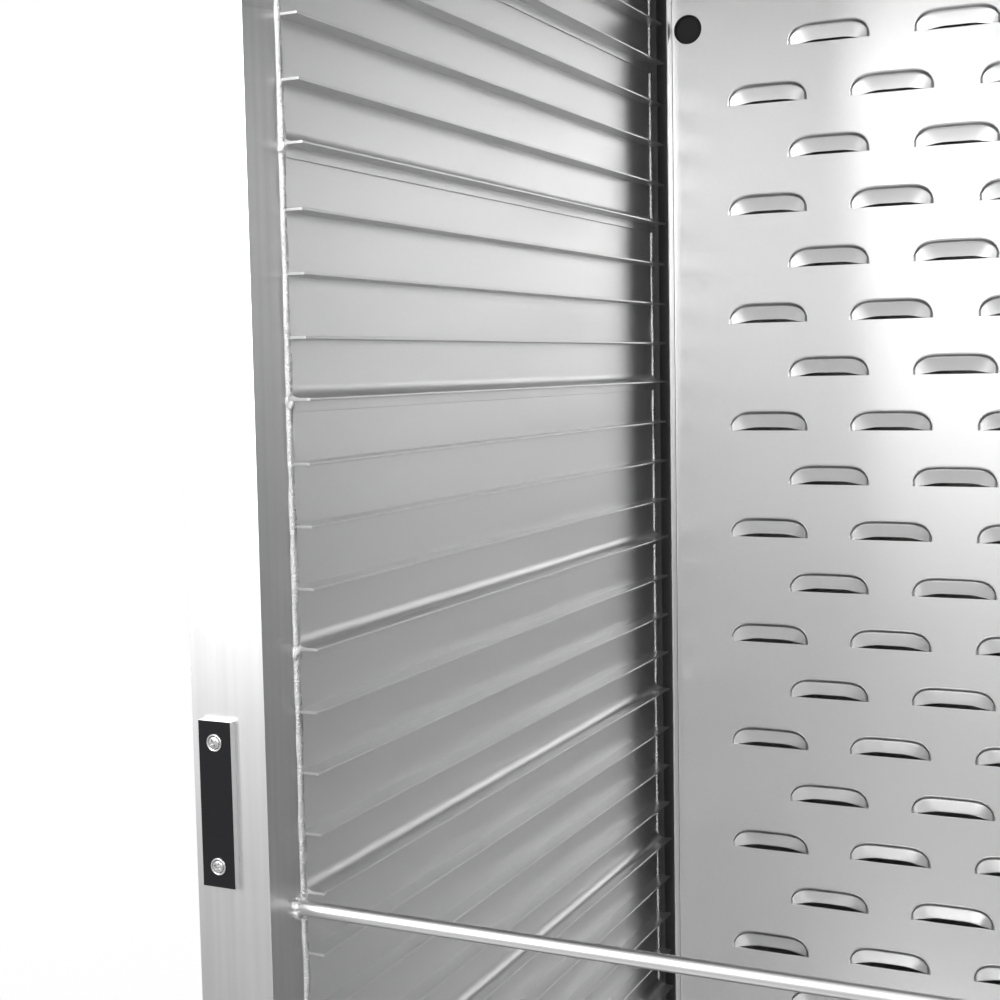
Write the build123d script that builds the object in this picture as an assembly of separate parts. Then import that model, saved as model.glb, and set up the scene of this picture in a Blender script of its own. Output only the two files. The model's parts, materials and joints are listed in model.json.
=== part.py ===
"""Mobile proofing cabinet for 18 x 26 inch sheet pans.

A welded aluminium cabinet: extruded ledge planks stacked in courses between front posts and a
rear frame, a louvred air duct panel at the back, a windowed door, a heat and humidity module
under the floor, and casters.

Modelling axes: X to the right, Y from the door towards the back, Z up from the floor, with the
post-to-plank joint plane at Y = 0 and the cabinet's middle at X = 0. All pieces are shifted
together at the end, so that the origin is under the middle of the overall box, on the floor.
"""
from build123d import *
import math
import os

os.makedirs("parts", exist_ok=True)

# ------------------------------------------------------------------ driving dimensions (mm)
# wall planks
ledge_pitch = 38.1
ledges_per_plank = 4
plank_courses = 9
plank_length = 655.0
plank_wall = 2.5
ledge_width = 13.5
ledge_thickness = 1.8
joint_ledge_width = 15.0
brace_height = 7.0
brace_reach = 7.4
brace_wall = 1.2
lip_drop = 7.0
lip_thickness = 1.6
plank_joint_gap = 0.1

# opening and posts
interior_width = 466.0
post_width = 52.0
post_depth = 37.0
rear_post_depth = 22.0
tube_wall = 2.5
header_height = 43.0
sill_height = 38.8
sheet = 1.2
cover_sheet = 1.5

# base and casters
base_tube = 38.0
module_height = 97.0
caster_headroom = 28.0
pad_size = 108.0
pad_thickness = 5.0
wheel_diameter = 127.0
wheel_width = 32.0
wheel_crown = 3.0
wheel_rim = 14.0
wheel_web = 18.0
wheel_fillet = 2.0
hub_width = 38.0
hub_diameter = 34.0
axle_radius = 6.0
running_clearance = 0.05
swivel_trail = 38.0
caster_plate = 96.0
caster_plate_thickness = 4.0
race_radius = 25.0
race_edge = 5.0
race_height = 12.0
kingpin_radius = 6.0
kingpin_nut_radius = 11.0
kingpin_nut_height = 5.4
leg_thickness = 3.5
fork_plate_thickness = 5.0
fork_shoulder = 20.0
fork_edge = 16.0
fork_eye = 15.0
fork_eye_drop = 10.0
fork_waist = 20.0
fork_waist_height = 34.0
leg_gap = 0.5
swivel_gap = 0.3
bolt_head_radius = 10.0
bolt_head_height = 6.0
pedal_length = 62.0
pedal_width = 30.0
pedal_root = 6.0
pedal_knee = 30.0
pedal_fall = 22.0
pedal_sheet = 5.0
pedal_pin_radius = 4.0
pedal_pin_ahead = 4.0
pedal_pin_rise = 5.0
pedal_pad_gap = 0.6

# tie bar and strike plate
bar_radius = 4.75
bar_setback = 6.0
bar_drop = 6.9
bar_joint = 4
strike_width = 23.0
strike_length = 102.0
strike_thickness = 5.0
strike_from_opening = 21.3
strike_height = 1003.4
screw_spacing = 76.0
screw_radius = 2.4
screw_head_radius = 4.8
screw_head_height = 1.6
screw_length = 14.0
screw_clearance = 0.15

# duct panel
duct_panel_width = 415.2
duct_panel_setback = 10.0
duct_flange = 12.7
louver_length = 76.2
louver_height = 19.0
louver_depth = 7.0
louver_pitch = 101.6
louver_first = 55.2
louver_step = 57.15
louver_columns = 5
louver_rows_clear = 30.0
probe_hole_radius = 13.6
probe_hole_x = 16.6
probe_hole_drop = 124.0
duct_depth = 40.0
duct_mouth_gap = 5.2
return_slots = 8
return_slot_length = 120.0
return_slot_width = 8.0
return_slot_step = 20.0
back_panel_margin = 10.0

# door
door_thickness = 40.0
door_gap = 10.0
door_edge_inset = 2.0
door_floor_gap = 2.0
door_top_inset = 4.0
stile_width = 60.0
door_sheet = 2.0
pane_thickness = 4.0
pane_grip = 5.0
seal_width = 8.0
seal_depth = 12.0
gasket_width = 10.0
gasket_inset = 3.0
gasket_free = 0.3
magnet_width = 20.0
magnet_length = 64.0
magnet_free = 0.4
handle_length = 210.0
handle_standoff = 45.0
handle_radius = 7.0
handle_inset = 30.0
handle_foot_radius = 13.0
handle_foot_height = 4.0
handle_bend = 17.5
rest_opening = 120.0

# hinges
hinge_count = 3
hinge_length = 90.0
hinge_offset = 7.0
barrel_radius = 6.0
hinge_pin_radius = 3.0
leaf_thickness = 3.0
post_leaf_reach = 30.0
door_leaf_reach = 44.0
knuckle_gap = 0.4
hinge_end_inset = 150.0
hinge_notch = 8.0

# heat and humidity module
module_sheet = 1.5
panel_thickness = 2.0
module_length = 600.0
pan_width = 140.0
pan_height = 66.0
pan_length = 320.0
pan_sheet = 1.5
pan_centre_x = 150.0
pan_front_gap = 1.0
pan_floor_gap = 2.0
pan_guide_gap = 3.0
pan_grip_depth = 18.0
pan_grip_width = 80.0
pan_grip_drop = 8.0
knob_radius = 19.0
knob_height = 20.0
knob_skirt = 5.0
knob_grip_radius = 13.7
knob_pointer_length = 13.3
knob_pointer_width = 3.0
knob_pointer_height = 1.0
knob_shaft_radius = 3.0
knob_shaft_depth = 12.0
knob_spacing = 90.0
knob_first_x = -130.0
knob_panel_gap = 1.0
switch_width = 22.0
switch_height = 30.0
switch_x = -200.0
switch_gap = 0.6
rocker_out = 5.0
rocker_in = 1.5
rocker_depth = 6.0
rocker_taper = 0.6
rocker_pivot_radius = 1.5
rocker_pivot_depth = 4.0
rocker_pivot_reach = 2.0
thermometer_radius = 24.0
thermometer_rim = 3.0
thermometer_height = 6.0
thermometer_depth = 18.0
thermometer_x = 28.0
lamp_radius = 5.0
lamp_rim = 1.5
lamp_height = 4.0
lamp_depth = 20.0
lamp_spacing = 16.0
lamp_x = -175.0
element_radius = 4.0
element_bend = 60.0
element_height = 30.0
element_x = (-150.0, 30.0)
element_y = (83.0, 393.0)
element_bracket_edge = 15.0
element_bracket_top = 12.0
element_bracket_sheet = 3.0
blower_radius = 42.0
blower_width = 44.0
blower_wall = 6.0
blower_hub_sheet = 3.0
blower_rim = 4.0
blower_floor_gap = 4.0
blower_slots = 16
blower_slot_width = 5.0
blower_shaft_radius = 3.0
blower_shaft_length = 60.0
motor_radius = 36.0
motor_length = 70.0
motor_gap = 3.0
motor_end_wall = 8.0
motor_foot_inset = 10.0
motor_foot_width = 50.0
blower_y = 500.0
inlet_width = 50.0
inlet_height = 32.0
inlet_depth = 28.0
inlet_rim = 4.0
inlet_flange = 3.0
inlet_socket = (34.0, 20.0)
inlet_socket_depth = 18.0
inlet_pin = (2.0, 6.0)
inlet_pin_places = ((-9.0, -2.0), (0.0, 3.0), (9.0, -2.0))
inlet_pin_setback = 1.0
inlet_x = -150.0

# ------------------------------------------------------------------ derived places
half_inside = interior_width / 2
half_outside = half_inside + post_width
plank_height = ledge_pitch * ledges_per_plank
mount_height = wheel_diameter + caster_headroom
base_top = mount_height + base_tube
sill_bottom = base_top + module_height
sill_top = sill_bottom + sill_height
floor_height = sill_top + sheet
ceiling_z = floor_height + plank_courses * plank_height
top_z = ceiling_z + header_height + sheet
front_y = -post_depth
rear_y = plank_length + rear_post_depth
back_y = rear_y + duct_depth
duct_face_y = plank_length - duct_panel_setback
door_inner_y = front_y - door_gap
door_outer_y = door_inner_y - door_thickness
door_left = -half_outside + door_edge_inset
door_right = half_outside - door_edge_inset
door_bottom = sill_bottom + door_floor_gap
door_top = top_z - door_top_inset
hinge_x = half_outside + hinge_offset
hinge_y = door_outer_y
wheel_radius = wheel_diameter / 2
caster_inset = pad_size / 2
front_caster_y = front_y + caster_inset
rear_caster_y = rear_y - caster_inset
caster_x = half_outside - caster_inset
pan_left = pan_centre_x - pan_width / 2
pan_right = pan_left + pan_width
module_floor = base_top + module_sheet
pan_bottom = module_floor + pan_floor_gap
control_z = (base_top + sill_bottom) / 2
blower_z = module_floor + blower_radius + blower_floor_gap


def box(x, y, z):
    """Axis-aligned block from three (low, high) ranges."""
    block = Box(x[1] - x[0], y[1] - y[0], z[1] - z[0], align=(Align.MIN, Align.MIN, Align.MIN))
    return Pos(x[0], y[0], z[0]) * block


def rod(radius, start, end):
    """Round bar between two points that differ along one axis."""
    centre = Vector(*start)
    along = Vector(*end) - centre
    return Plane(origin=centre, z_dir=along.normalized()) * Cylinder(
        radius, along.length, align=(Align.CENTER, Align.CENTER, Align.MIN))


def tube(x, y, z, wall, axis):
    """Rectangular tube, open at both ends along the given axis."""
    ranges = {"x": x, "y": y, "z": z}
    hollow = {k: r if k == axis else (r[0] + wall, r[1] - wall) for k, r in ranges.items()}
    return box(x, y, z) - box(hollow["x"], hollow["y"], hollow["z"])


def mirrored(piece):
    """The same piece on the other side of the cabinet's middle plane."""
    return piece.mirror(Plane.YZ)


def side_plate(points, x, y=0.0, z=0.0):
    """Plate between two X values, from (Y, Z) points measured from y and z."""
    outline = Polygon(*points, align=None)
    standing = Plane(origin=(x[0], y, z), x_dir=(0, 1, 0), z_dir=(1, 0, 0))
    return extrude(standing * outline, x[1] - x[0], dir=(1, 0, 0))


def group(pieces):
    """Separate solids kept together in one node."""
    return Compound([solid for piece in pieces for solid in piece.solids()])


def ring(outer_x, outer_z, width, y):
    """Flat rectangular frame standing in an XZ plane."""
    inner_x = (outer_x[0] + width, outer_x[1] - width)
    inner_z = (outer_z[0] + width, outer_z[1] - width)
    return box(outer_x, y, outer_z) - box(inner_x, y, inner_z)


# ------------------------------------------------------------------ wall planks
def plank_profile(is_lowest):
    """Cross-section of one left-hand plank: X across the wall, Y up from the joint."""
    lowest = 0 if is_lowest else plank_joint_gap
    section = Pos(-plank_wall, lowest) * Rectangle(
        plank_wall, plank_height - lowest, align=(Align.MIN, Align.MIN))
    for level in range(1, ledges_per_plank):
        low = level * ledge_pitch - ledge_thickness / 2
        section += Pos(-plank_wall / 2, low) * Rectangle(
            ledge_width + plank_wall / 2, ledge_thickness, align=(Align.MIN, Align.MIN))
    section += Pos(-plank_wall / 2, lowest) * Rectangle(
        joint_ledge_width + plank_wall / 2, ledge_thickness, align=(Align.MIN, Align.MIN))
    rise = lowest + ledge_thickness
    slope = Polygon((-plank_wall / 2, rise), (brace_reach, rise), (0, rise + brace_height),
                    (-plank_wall / 2, rise + brace_height), align=None)
    inner_reach = brace_reach - brace_wall * math.hypot(brace_reach, brace_height) / brace_height
    inner_rise = brace_height - brace_wall * math.hypot(brace_reach, brace_height) / brace_reach
    hollow = Polygon((0, rise), (inner_reach, rise), (0, rise + inner_rise), align=None)
    section = section + slope - hollow
    if not is_lowest:
        section += Pos(plank_joint_gap, lowest - lip_drop) * Rectangle(
            lip_thickness, lip_drop + ledge_thickness / 2, align=(Align.MIN, Align.MIN))
    return section


def make_plank_course(number):
    """Left and right planks of one course, counted up from the floor."""
    profile = plank_profile(is_lowest=number == 1)
    standing = Plane(origin=(-half_inside, 0, floor_height + (number - 1) * plank_height),
                     x_dir=(1, 0, 0), z_dir=(0, -1, 0))
    left = extrude(standing * profile, -plank_length)
    return group([left, mirrored(left)])


# ------------------------------------------------------------------ frame
def make_front_post():
    """Left front post, drilled for the strike plate's screws."""
    post = tube((-half_outside, -half_inside), (front_y, 0), (base_top, top_z), tube_wall, "z")
    for x, z in strike_screw_places():
        post -= rod(screw_radius + screw_clearance, (x, front_y - 1, z), (x, front_y + tube_wall + 1, z))
    return post


def make_plain_post():
    """Right front post."""
    return tube((half_inside, half_outside), (front_y, 0), (base_top, top_z), tube_wall, "z")


def make_rear_frame():
    """Rear posts and cross rails, welded into one frame."""
    depth = (plank_length, rear_y)
    left = tube((-half_outside, -half_inside), depth, (base_top, top_z), tube_wall, "z")
    inside = (-half_inside, half_inside)
    top = tube(inside, depth, (ceiling_z + sheet, top_z), tube_wall, "x")
    bottom = tube(inside, depth, (sill_bottom, sill_top), tube_wall, "x")
    return left + mirrored(left) + top + bottom


def make_header():
    """Front rail over the door opening."""
    return tube((-half_inside, half_inside), (front_y, 0), (ceiling_z + sheet, top_z), tube_wall, "x")


def make_sill():
    """Front rail under the door opening."""
    return tube((-half_inside, half_inside), (front_y, 0), (sill_bottom, sill_top), tube_wall, "x")


def make_tie_bar():
    """Round bar welded across the opening between the front posts."""
    z = floor_height + bar_joint * plank_height - bar_drop
    return rod(bar_radius, (-half_inside, -bar_setback, z), (half_inside, -bar_setback, z))


def make_side_panel():
    """Left outer skin between the posts."""
    return box((-half_outside, -half_outside + sheet), (0, plank_length), (base_top, top_z))


def make_top_cover():
    """Outer roof sheet."""
    return box((-half_outside, half_outside), (front_y, rear_y), (top_z, top_z + cover_sheet))


def make_ceiling_liner():
    """Sheet that closes the chamber on top of the planks."""
    reach = half_inside + plank_wall
    return box((-reach, reach), (0, plank_length), (ceiling_z, ceiling_z + sheet))


def make_floor_liner():
    """Chamber floor with return air slots over the module."""
    liner = box((-half_inside, half_inside), (front_y, rear_y), (sill_top, floor_height))
    for row in range(return_slots):
        y = plank_length / 2 + (row - (return_slots - 1) / 2) * return_slot_step
        liner -= box((-return_slot_length / 2, return_slot_length / 2), (y, y + return_slot_width),
                     (sill_top, floor_height))
    return liner - box((-half_inside + post_width, half_inside - post_width),
                       (duct_face_y + duct_mouth_gap, plank_length), (sill_top, floor_height))


def make_back_panel():
    """Shallow outer pan behind the rear frame, which closes the air duct."""
    x = (-half_outside + back_panel_margin, half_outside - back_panel_margin)
    z = (base_top, top_z - back_panel_margin)
    pan = box(x, (rear_y, back_y), z)
    pan -= box((x[0] + sheet, x[1] - sheet), (rear_y, back_y - sheet), (z[0] + sheet, z[1] - sheet))
    flange = ring((x[0] + sheet, x[1] - sheet), (z[0] + sheet, z[1] - sheet), back_panel_margin,
                  (rear_y, rear_y + sheet))
    hole = box((inlet_x - inlet_width / 2, inlet_x + inlet_width / 2), (back_y - sheet, back_y),
               inlet_z_range())
    return pan + flange - hole


# ------------------------------------------------------------------ air duct panel
def louver_places():
    """Middle and lower edge of every louver: staggered columns across the panel."""
    places = []
    for column in range(louver_columns):
        x = (column - (louver_columns - 1) / 2) * louver_step
        shift = louver_pitch / 2 if column % 2 else 0.0
        z = floor_height + louver_first - shift
        while z + louver_height < ceiling_z - louver_rows_clear:
            if z > floor_height + louver_rows_clear:
                places.append((x, z))
            z += louver_pitch
    return places


def make_louver_hood():
    """Pressed hood behind one louver opening: a sloped sheet with two closed cheeks."""
    edge = louver_length / 2
    slope = [(0, louver_height), (sheet, louver_height), (louver_depth, 0), (louver_depth - sheet, 0)]
    cheek = [(0, louver_height), (sheet, louver_height), (louver_depth, 0), (0, 0)]
    hood = side_plate(slope, (-edge, edge))
    return hood + side_plate(cheek, (-edge, -edge + sheet)) + side_plate(cheek, (edge - sheet, edge))


def make_duct_panel():
    """Louvred sheet in front of the duct, with side flanges turned towards the chamber."""
    x = (-duct_panel_width / 2, duct_panel_width / 2)
    z = (floor_height, ceiling_z)
    face = box(x, (duct_face_y, duct_face_y + sheet), z)
    flange = box((x[0], x[0] + sheet), (duct_face_y - duct_flange, duct_face_y), z)
    probe = rod(probe_hole_radius, (x[0] + probe_hole_x, duct_face_y, ceiling_z - probe_hole_drop),
                (x[0] + probe_hole_x, duct_face_y + sheet, ceiling_z - probe_hole_drop))
    hood = make_louver_hood()
    windows = []
    hoods = []
    for cx, cz in louver_places():
        windows.append(box((cx - louver_length / 2, cx + louver_length / 2),
                           (duct_face_y, duct_face_y + sheet), (cz, cz + louver_height)))
        hoods.append(Pos(cx, duct_face_y, cz) * hood)
    return face.cut(*windows, probe).fuse(flange, mirrored(flange), *hoods)


# ------------------------------------------------------------------ strike plate
def strike_screw_places():
    """Screw axes of the strike plate: X and Z on the left post's face."""
    x = -half_inside - strike_from_opening - strike_width / 2
    return [(x, strike_height - screw_spacing / 2), (x, strike_height + screw_spacing / 2)]


def make_strike_plate():
    """Magnetic strike on the left post."""
    right = -half_inside - strike_from_opening
    plate = box((right - strike_width, right), (front_y - strike_thickness, front_y),
                (strike_height - strike_length / 2, strike_height + strike_length / 2))
    for x, z in strike_screw_places():
        plate -= rod(screw_radius + screw_clearance, (x, front_y - strike_thickness, z), (x, front_y, z))
    return plate


def make_strike_screws():
    """Two screws through the strike plate into the post."""
    face = front_y - strike_thickness
    screws = []
    for x, z in strike_screw_places():
        head = rod(screw_head_radius, (x, face, z), (x, face - screw_head_height, z))
        screws.append(head + rod(screw_radius, (x, face, z), (x, face + screw_length, z)))
    return group(screws)


# ------------------------------------------------------------------ door, modelled closed
def door_ranges():
    """Outline of the shut door: its X and Z ranges."""
    return (door_left, door_right), (door_bottom, door_top)


def make_door_frame():
    """Outer frame of the door: face sheet with turned edges, open towards the chamber."""
    x, z = door_ranges()
    liner_y = door_inner_y - sheet
    frame = ring(x, z, stile_width, (door_outer_y, liner_y))
    inner_x = (x[0] + door_sheet, x[1] - door_sheet)
    inner_z = (z[0] + door_sheet, z[1] - door_sheet)
    return frame - ring(inner_x, inner_z, stile_width - 2 * door_sheet,
                        (door_outer_y + door_sheet, liner_y))


def make_door_liner():
    """Inner sheet that closes the door frame."""
    x, z = door_ranges()
    return ring(x, z, stile_width, (door_inner_y - sheet, door_inner_y))


def window_ranges():
    """Opening between the door's stiles and rails: X and Z ranges."""
    x, z = door_ranges()
    return (x[0] + stile_width, x[1] - stile_width), (z[0] + stile_width, z[1] - stile_width)


def pane_y():
    """Y range of the pane, in the middle of the door's thickness."""
    middle = door_outer_y + door_thickness / 2
    return (middle - pane_thickness / 2, middle + pane_thickness / 2)


def pane_ranges():
    """X and Z ranges of the pane, which stands in the seal."""
    x, z = window_ranges()
    edge = seal_width - pane_grip
    return (x[0] + edge, x[1] - edge), (z[0] + edge, z[1] - edge)


def make_window():
    """Clear pane."""
    x, z = pane_ranges()
    return box(x, pane_y(), z)


def make_window_seal():
    """Rubber channel that holds the pane in the frame."""
    x, z = window_ranges()
    middle = door_outer_y + door_thickness / 2
    seal = ring(x, z, seal_width, (middle - seal_depth / 2, middle + seal_depth / 2))
    pane_x, pane_z = pane_ranges()
    return seal - box(pane_x, pane_y(), pane_z)


def make_gasket():
    """Perimeter gasket on the door liner, which meets the posts and rails."""
    edge = half_inside + gasket_inset + gasket_width
    z = (sill_top - gasket_inset - gasket_width, ceiling_z + sheet + gasket_inset + gasket_width)
    return ring((-edge, edge), z, gasket_width, (door_inner_y, front_y - gasket_free))


def make_handle():
    """Bow handle on two round feet."""
    x = door_left + handle_inset
    low, high = strike_height - handle_length / 2, strike_height + handle_length / 2
    out = door_outer_y - handle_standoff
    face = door_outer_y - handle_foot_height
    path = FilletPolyline((x, face, low), (x, out, low), (x, out, high), (x, face, high),
                          radius=handle_bend)
    start = Plane(origin=(x, face, low), z_dir=(0, -1, 0))
    bow = sweep(start * Circle(handle_radius), path=path)
    feet = [rod(handle_foot_radius, (x, face, z), (x, door_outer_y, z)) for z in (low, high)]
    return bow.fuse(*feet)


def make_latch_magnet():
    """Magnet block on the liner, which meets the strike plate when the door is shut."""
    x = -half_inside - strike_from_opening - strike_width / 2
    return box((x - magnet_width / 2, x + magnet_width / 2),
               (door_inner_y, front_y - strike_thickness - screw_head_height - magnet_free),
               (strike_height - magnet_length / 2, strike_height + magnet_length / 2)) - group([
                   rod(screw_head_radius + magnet_free, (sx, door_inner_y, sz), (sx, front_y, sz))
                   for sx, sz in strike_screw_places()])


# ------------------------------------------------------------------ hinges
def hinge_heights():
    """Middle height of each hinge."""
    low, high = door_bottom + hinge_end_inset, door_top - hinge_end_inset
    return [low + (high - low) * i / (hinge_count - 1) for i in range(hinge_count)]


def knuckle_split():
    """Half height of the door knuckle, between the two post knuckles."""
    return hinge_length / 6


def make_post_hinge_leaf(z):
    """Leaf on the post's outer side, with an arm past the door's edge to two knuckles."""
    leaf = box((half_outside, half_outside + leaf_thickness), (hinge_y, front_y + post_leaf_reach),
               (z - hinge_length / 2, z + hinge_length / 2))
    middle = knuckle_split() + knuckle_gap
    notch = box((half_outside, half_outside + leaf_thickness),
                (hinge_y, hinge_y + hinge_notch), (z - middle, z + middle))
    barrel = rod(barrel_radius, (hinge_x, hinge_y, z - hinge_length / 2),
                 (hinge_x, hinge_y, z + hinge_length / 2))
    gap = rod(barrel_radius, (hinge_x, hinge_y, z - middle), (hinge_x, hinge_y, z + middle))
    bore = rod(hinge_pin_radius, (hinge_x, hinge_y, z - hinge_length / 2),
               (hinge_x, hinge_y, z + hinge_length / 2))
    return leaf - notch + (barrel - gap) - bore


def make_door_hinge_leaf(z):
    """Leaf on the door's face with the middle knuckle."""
    half = knuckle_split()
    leaf = box((door_right - door_leaf_reach, hinge_x), (hinge_y - leaf_thickness, hinge_y),
               (z - half, z + half))
    wing = box((door_right - door_leaf_reach, door_right - barrel_radius),
               (hinge_y - leaf_thickness, hinge_y), (z - hinge_length / 2, z + hinge_length / 2))
    barrel = rod(barrel_radius, (hinge_x, hinge_y, z - half), (hinge_x, hinge_y, z + half))
    bore = rod(hinge_pin_radius + running_clearance, (hinge_x, hinge_y, z - half),
               (hinge_x, hinge_y, z + half))
    return leaf + wing + barrel - bore


def make_hinge_pin(z):
    """Pin held in the post knuckles."""
    return rod(hinge_pin_radius, (hinge_x, hinge_y, z - hinge_length / 2),
               (hinge_x, hinge_y, z + hinge_length / 2))


# ------------------------------------------------------------------ heat and humidity module
def inlet_z_range():
    """Z range of the power inlet's body."""
    return (control_z - inlet_height / 2, control_z + inlet_height / 2)


def make_module_housing():
    """Tray under the chamber floor that carries the heater, blower and water pan."""
    x = (-half_inside, half_inside)
    y = (front_y + panel_thickness, front_y + panel_thickness + module_length)
    z = (base_top, sill_bottom)
    tray = box(x, y, z) - box((x[0] + module_sheet, x[1] - module_sheet),
                              (y[0], y[1] - module_sheet), (module_floor, z[1]))
    guides = [box((edge - module_sheet / 2, edge + module_sheet / 2),
                  (y[0], y[0] + pan_length), (module_floor, z[0] + pan_height))
              for edge in (pan_left - pan_guide_gap, pan_right + pan_guide_gap)]
    outlet = box((-post_width, post_width), (y[1] - module_sheet, y[1]),
                 (module_floor + module_sheet, z[1]))
    return tray.fuse(*guides) - outlet


def knob_places():
    """X of the heat knob and of the humidity knob."""
    return [knob_first_x, knob_first_x + knob_spacing]


def make_control_panel():
    """Front plate of the module with holes for its controls and the water pan."""
    y = (front_y, front_y + panel_thickness)
    panel = box((-half_inside, half_inside), y, (base_top, sill_bottom))
    panel -= box((pan_left - pan_front_gap, pan_right + pan_front_gap), y,
                 (pan_bottom - pan_front_gap, pan_bottom + pan_height + pan_front_gap))
    for x in knob_places():
        panel -= rod(knob_shaft_radius + running_clearance, (x, y[0], control_z), (x, y[1], control_z))
    for x, z in lamp_places():
        panel -= rod(lamp_radius, (x, y[0], z), (x, y[1], z))
    panel -= rod(thermometer_radius - thermometer_rim, (thermometer_x, y[0], control_z),
                 (thermometer_x, y[1], control_z))
    return panel - box((switch_x - switch_width / 2, switch_x + switch_width / 2), y,
                       (control_z - switch_height / 2, control_z + switch_height / 2))


def make_knob(x):
    """Control knob with a skirt, a pointer rib and its spindle."""
    back = front_y - knob_panel_gap
    face = back - knob_height
    skirt = rod(knob_radius, (x, back, control_z), (x, back - knob_skirt, control_z))
    grip = rod(knob_grip_radius, (x, back - knob_skirt, control_z), (x, face, control_z))
    pointer = box((x - knob_pointer_width / 2, x + knob_pointer_width / 2),
                  (face - knob_pointer_height, face), (control_z, control_z + knob_pointer_length))
    spindle = rod(knob_shaft_radius, (x, back, control_z), (x, front_y + knob_shaft_depth, control_z))
    return skirt + grip + pointer + spindle


def make_switch():
    """Rocker of the power switch, with its pivots behind the panel."""
    reach, half = switch_width / 2 - switch_gap, switch_height / 2 - switch_gap * 2
    outline = [(-rocker_in, -half), (-rocker_out, half), (rocker_depth, half * rocker_taper),
               (rocker_depth, -half * rocker_taper)]
    rocker = side_plate(outline, (switch_x - reach, switch_x + reach), front_y, control_z)
    pivot_y = front_y + rocker_pivot_depth
    pivot_reach = reach + rocker_pivot_reach
    return rocker + rod(rocker_pivot_radius, (switch_x - pivot_reach, pivot_y, control_z),
                        (switch_x + pivot_reach, pivot_y, control_z))


def make_thermometer():
    """Round dial thermometer in the control panel."""
    face = rod(thermometer_radius, (thermometer_x, front_y - thermometer_height, control_z),
               (thermometer_x, front_y, control_z))
    neck = rod(thermometer_radius - thermometer_rim - screw_clearance, (thermometer_x, front_y, control_z),
               (thermometer_x, front_y + thermometer_depth, control_z))
    return face + neck


def lamp_places():
    """X and Z of the two pilot lamps."""
    return [(lamp_x, control_z - lamp_spacing / 2), (lamp_x, control_z + lamp_spacing / 2)]


def make_lamps():
    """Two pilot lamps."""
    lamps = []
    for x, z in lamp_places():
        lens = rod(lamp_radius + lamp_rim, (x, front_y - lamp_height, z), (x, front_y, z))
        body = rod(lamp_radius - screw_clearance, (x, front_y, z), (x, front_y + lamp_depth, z))
        lamps.append(lens + body)
    return group(lamps)


def make_water_pan():
    """Sliding pan with a front plate and a bent finger grip."""
    x = (pan_left, pan_right)
    y = (front_y, front_y + pan_length)
    z = (pan_bottom, pan_bottom + pan_height)
    pan = box(x, y, z) - box((x[0] + pan_sheet, x[1] - pan_sheet), (y[0] + pan_sheet, y[1] - pan_sheet),
                             (z[0] + pan_sheet, z[1]))
    grip_x = (pan_centre_x - pan_grip_width / 2, pan_centre_x + pan_grip_width / 2)
    middle = (z[0] + z[1]) / 2
    shelf = box(grip_x, (y[0] - pan_grip_depth, y[0]), (middle, middle + pan_sheet))
    lip = box(grip_x, (y[0] - pan_grip_depth, y[0] - pan_grip_depth + pan_sheet),
              (middle - pan_grip_drop, middle))
    return pan + shelf + lip


def make_heating_element():
    """Tubular element: one hairpin standing in a bracket."""
    z = module_floor + element_height
    path = FilletPolyline((element_x[0], element_y[0], z), (element_x[0], element_y[1], z),
                          (element_x[1], element_y[1], z), (element_x[1], element_y[0], z),
                          radius=element_bend)
    start = Plane(origin=(element_x[0], element_y[0], z), z_dir=(0, 1, 0))
    bar = sweep(start * Circle(element_radius), path=path)
    bracket = box((element_x[0] - element_bracket_edge, element_x[1] + element_bracket_edge),
                  (element_y[0] - element_bracket_sheet, element_y[0]), (module_floor, z + element_bracket_top))
    return bar + bracket


def make_blower_wheel():
    """Squirrel-cage wheel on the motor's shaft."""
    x = (-blower_width / 2, blower_width / 2)
    y, z = blower_y, blower_z
    drum = rod(blower_radius, (x[0], y, z), (x[1], y, z))
    drum -= rod(blower_radius - blower_wall, (x[0], y, z), (x[1] - blower_hub_sheet, y, z))
    slot = box((x[0] + blower_rim, x[1] - blower_hub_sheet - blower_rim),
               (-blower_slot_width / 2, blower_slot_width / 2), (blower_radius / 2, blower_radius * 2))
    for i in range(blower_slots):
        drum -= Pos(0, y, z) * Rot(360.0 / blower_slots * i, 0, 0) * slot
    return drum + rod(blower_shaft_radius, (x[0], y, z), (x[1] + blower_shaft_length, y, z))


def make_blower_motor():
    """Motor on a bracket beside the wheel."""
    start = blower_width / 2 + motor_gap
    x = (start, start + motor_length)
    y, z = blower_y, blower_z
    body = rod(motor_radius, (x[0], y, z), (x[1], y, z))
    foot = box((x[0] + motor_foot_inset, x[1] - motor_foot_inset),
               (y - motor_foot_width / 2, y + motor_foot_width / 2), (module_floor, z))
    bore = rod(blower_shaft_radius + running_clearance, (x[0], y, z), (x[1] - motor_end_wall, y, z))
    return body + foot - bore


def make_power_inlet():
    """Recessed power inlet on the back panel."""
    z = inlet_z_range()
    x = (inlet_x - inlet_width / 2, inlet_x + inlet_width / 2)
    face = back_y + inlet_flange
    body = box(x, (back_y - inlet_depth, back_y), z)
    flange = box((x[0] - inlet_rim, x[1] + inlet_rim), (back_y, face), (z[0] - inlet_rim, z[1] + inlet_rim))
    half_x, half_z = inlet_socket[0] / 2, inlet_socket[1] / 2
    socket = box((inlet_x - half_x, inlet_x + half_x), (back_y - inlet_socket_depth, face),
                 (control_z - half_z, control_z + half_z))
    pins = [Pos(inlet_x + dx, back_y - inlet_socket_depth, control_z + dz) * box(
        (-inlet_pin[0] / 2, inlet_pin[0] / 2), (0, inlet_socket_depth - inlet_pin_setback),
        (-inlet_pin[1] / 2, inlet_pin[1] / 2)) for dx, dz in inlet_pin_places]
    return (body + flange - socket).fuse(*pins)


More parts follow.
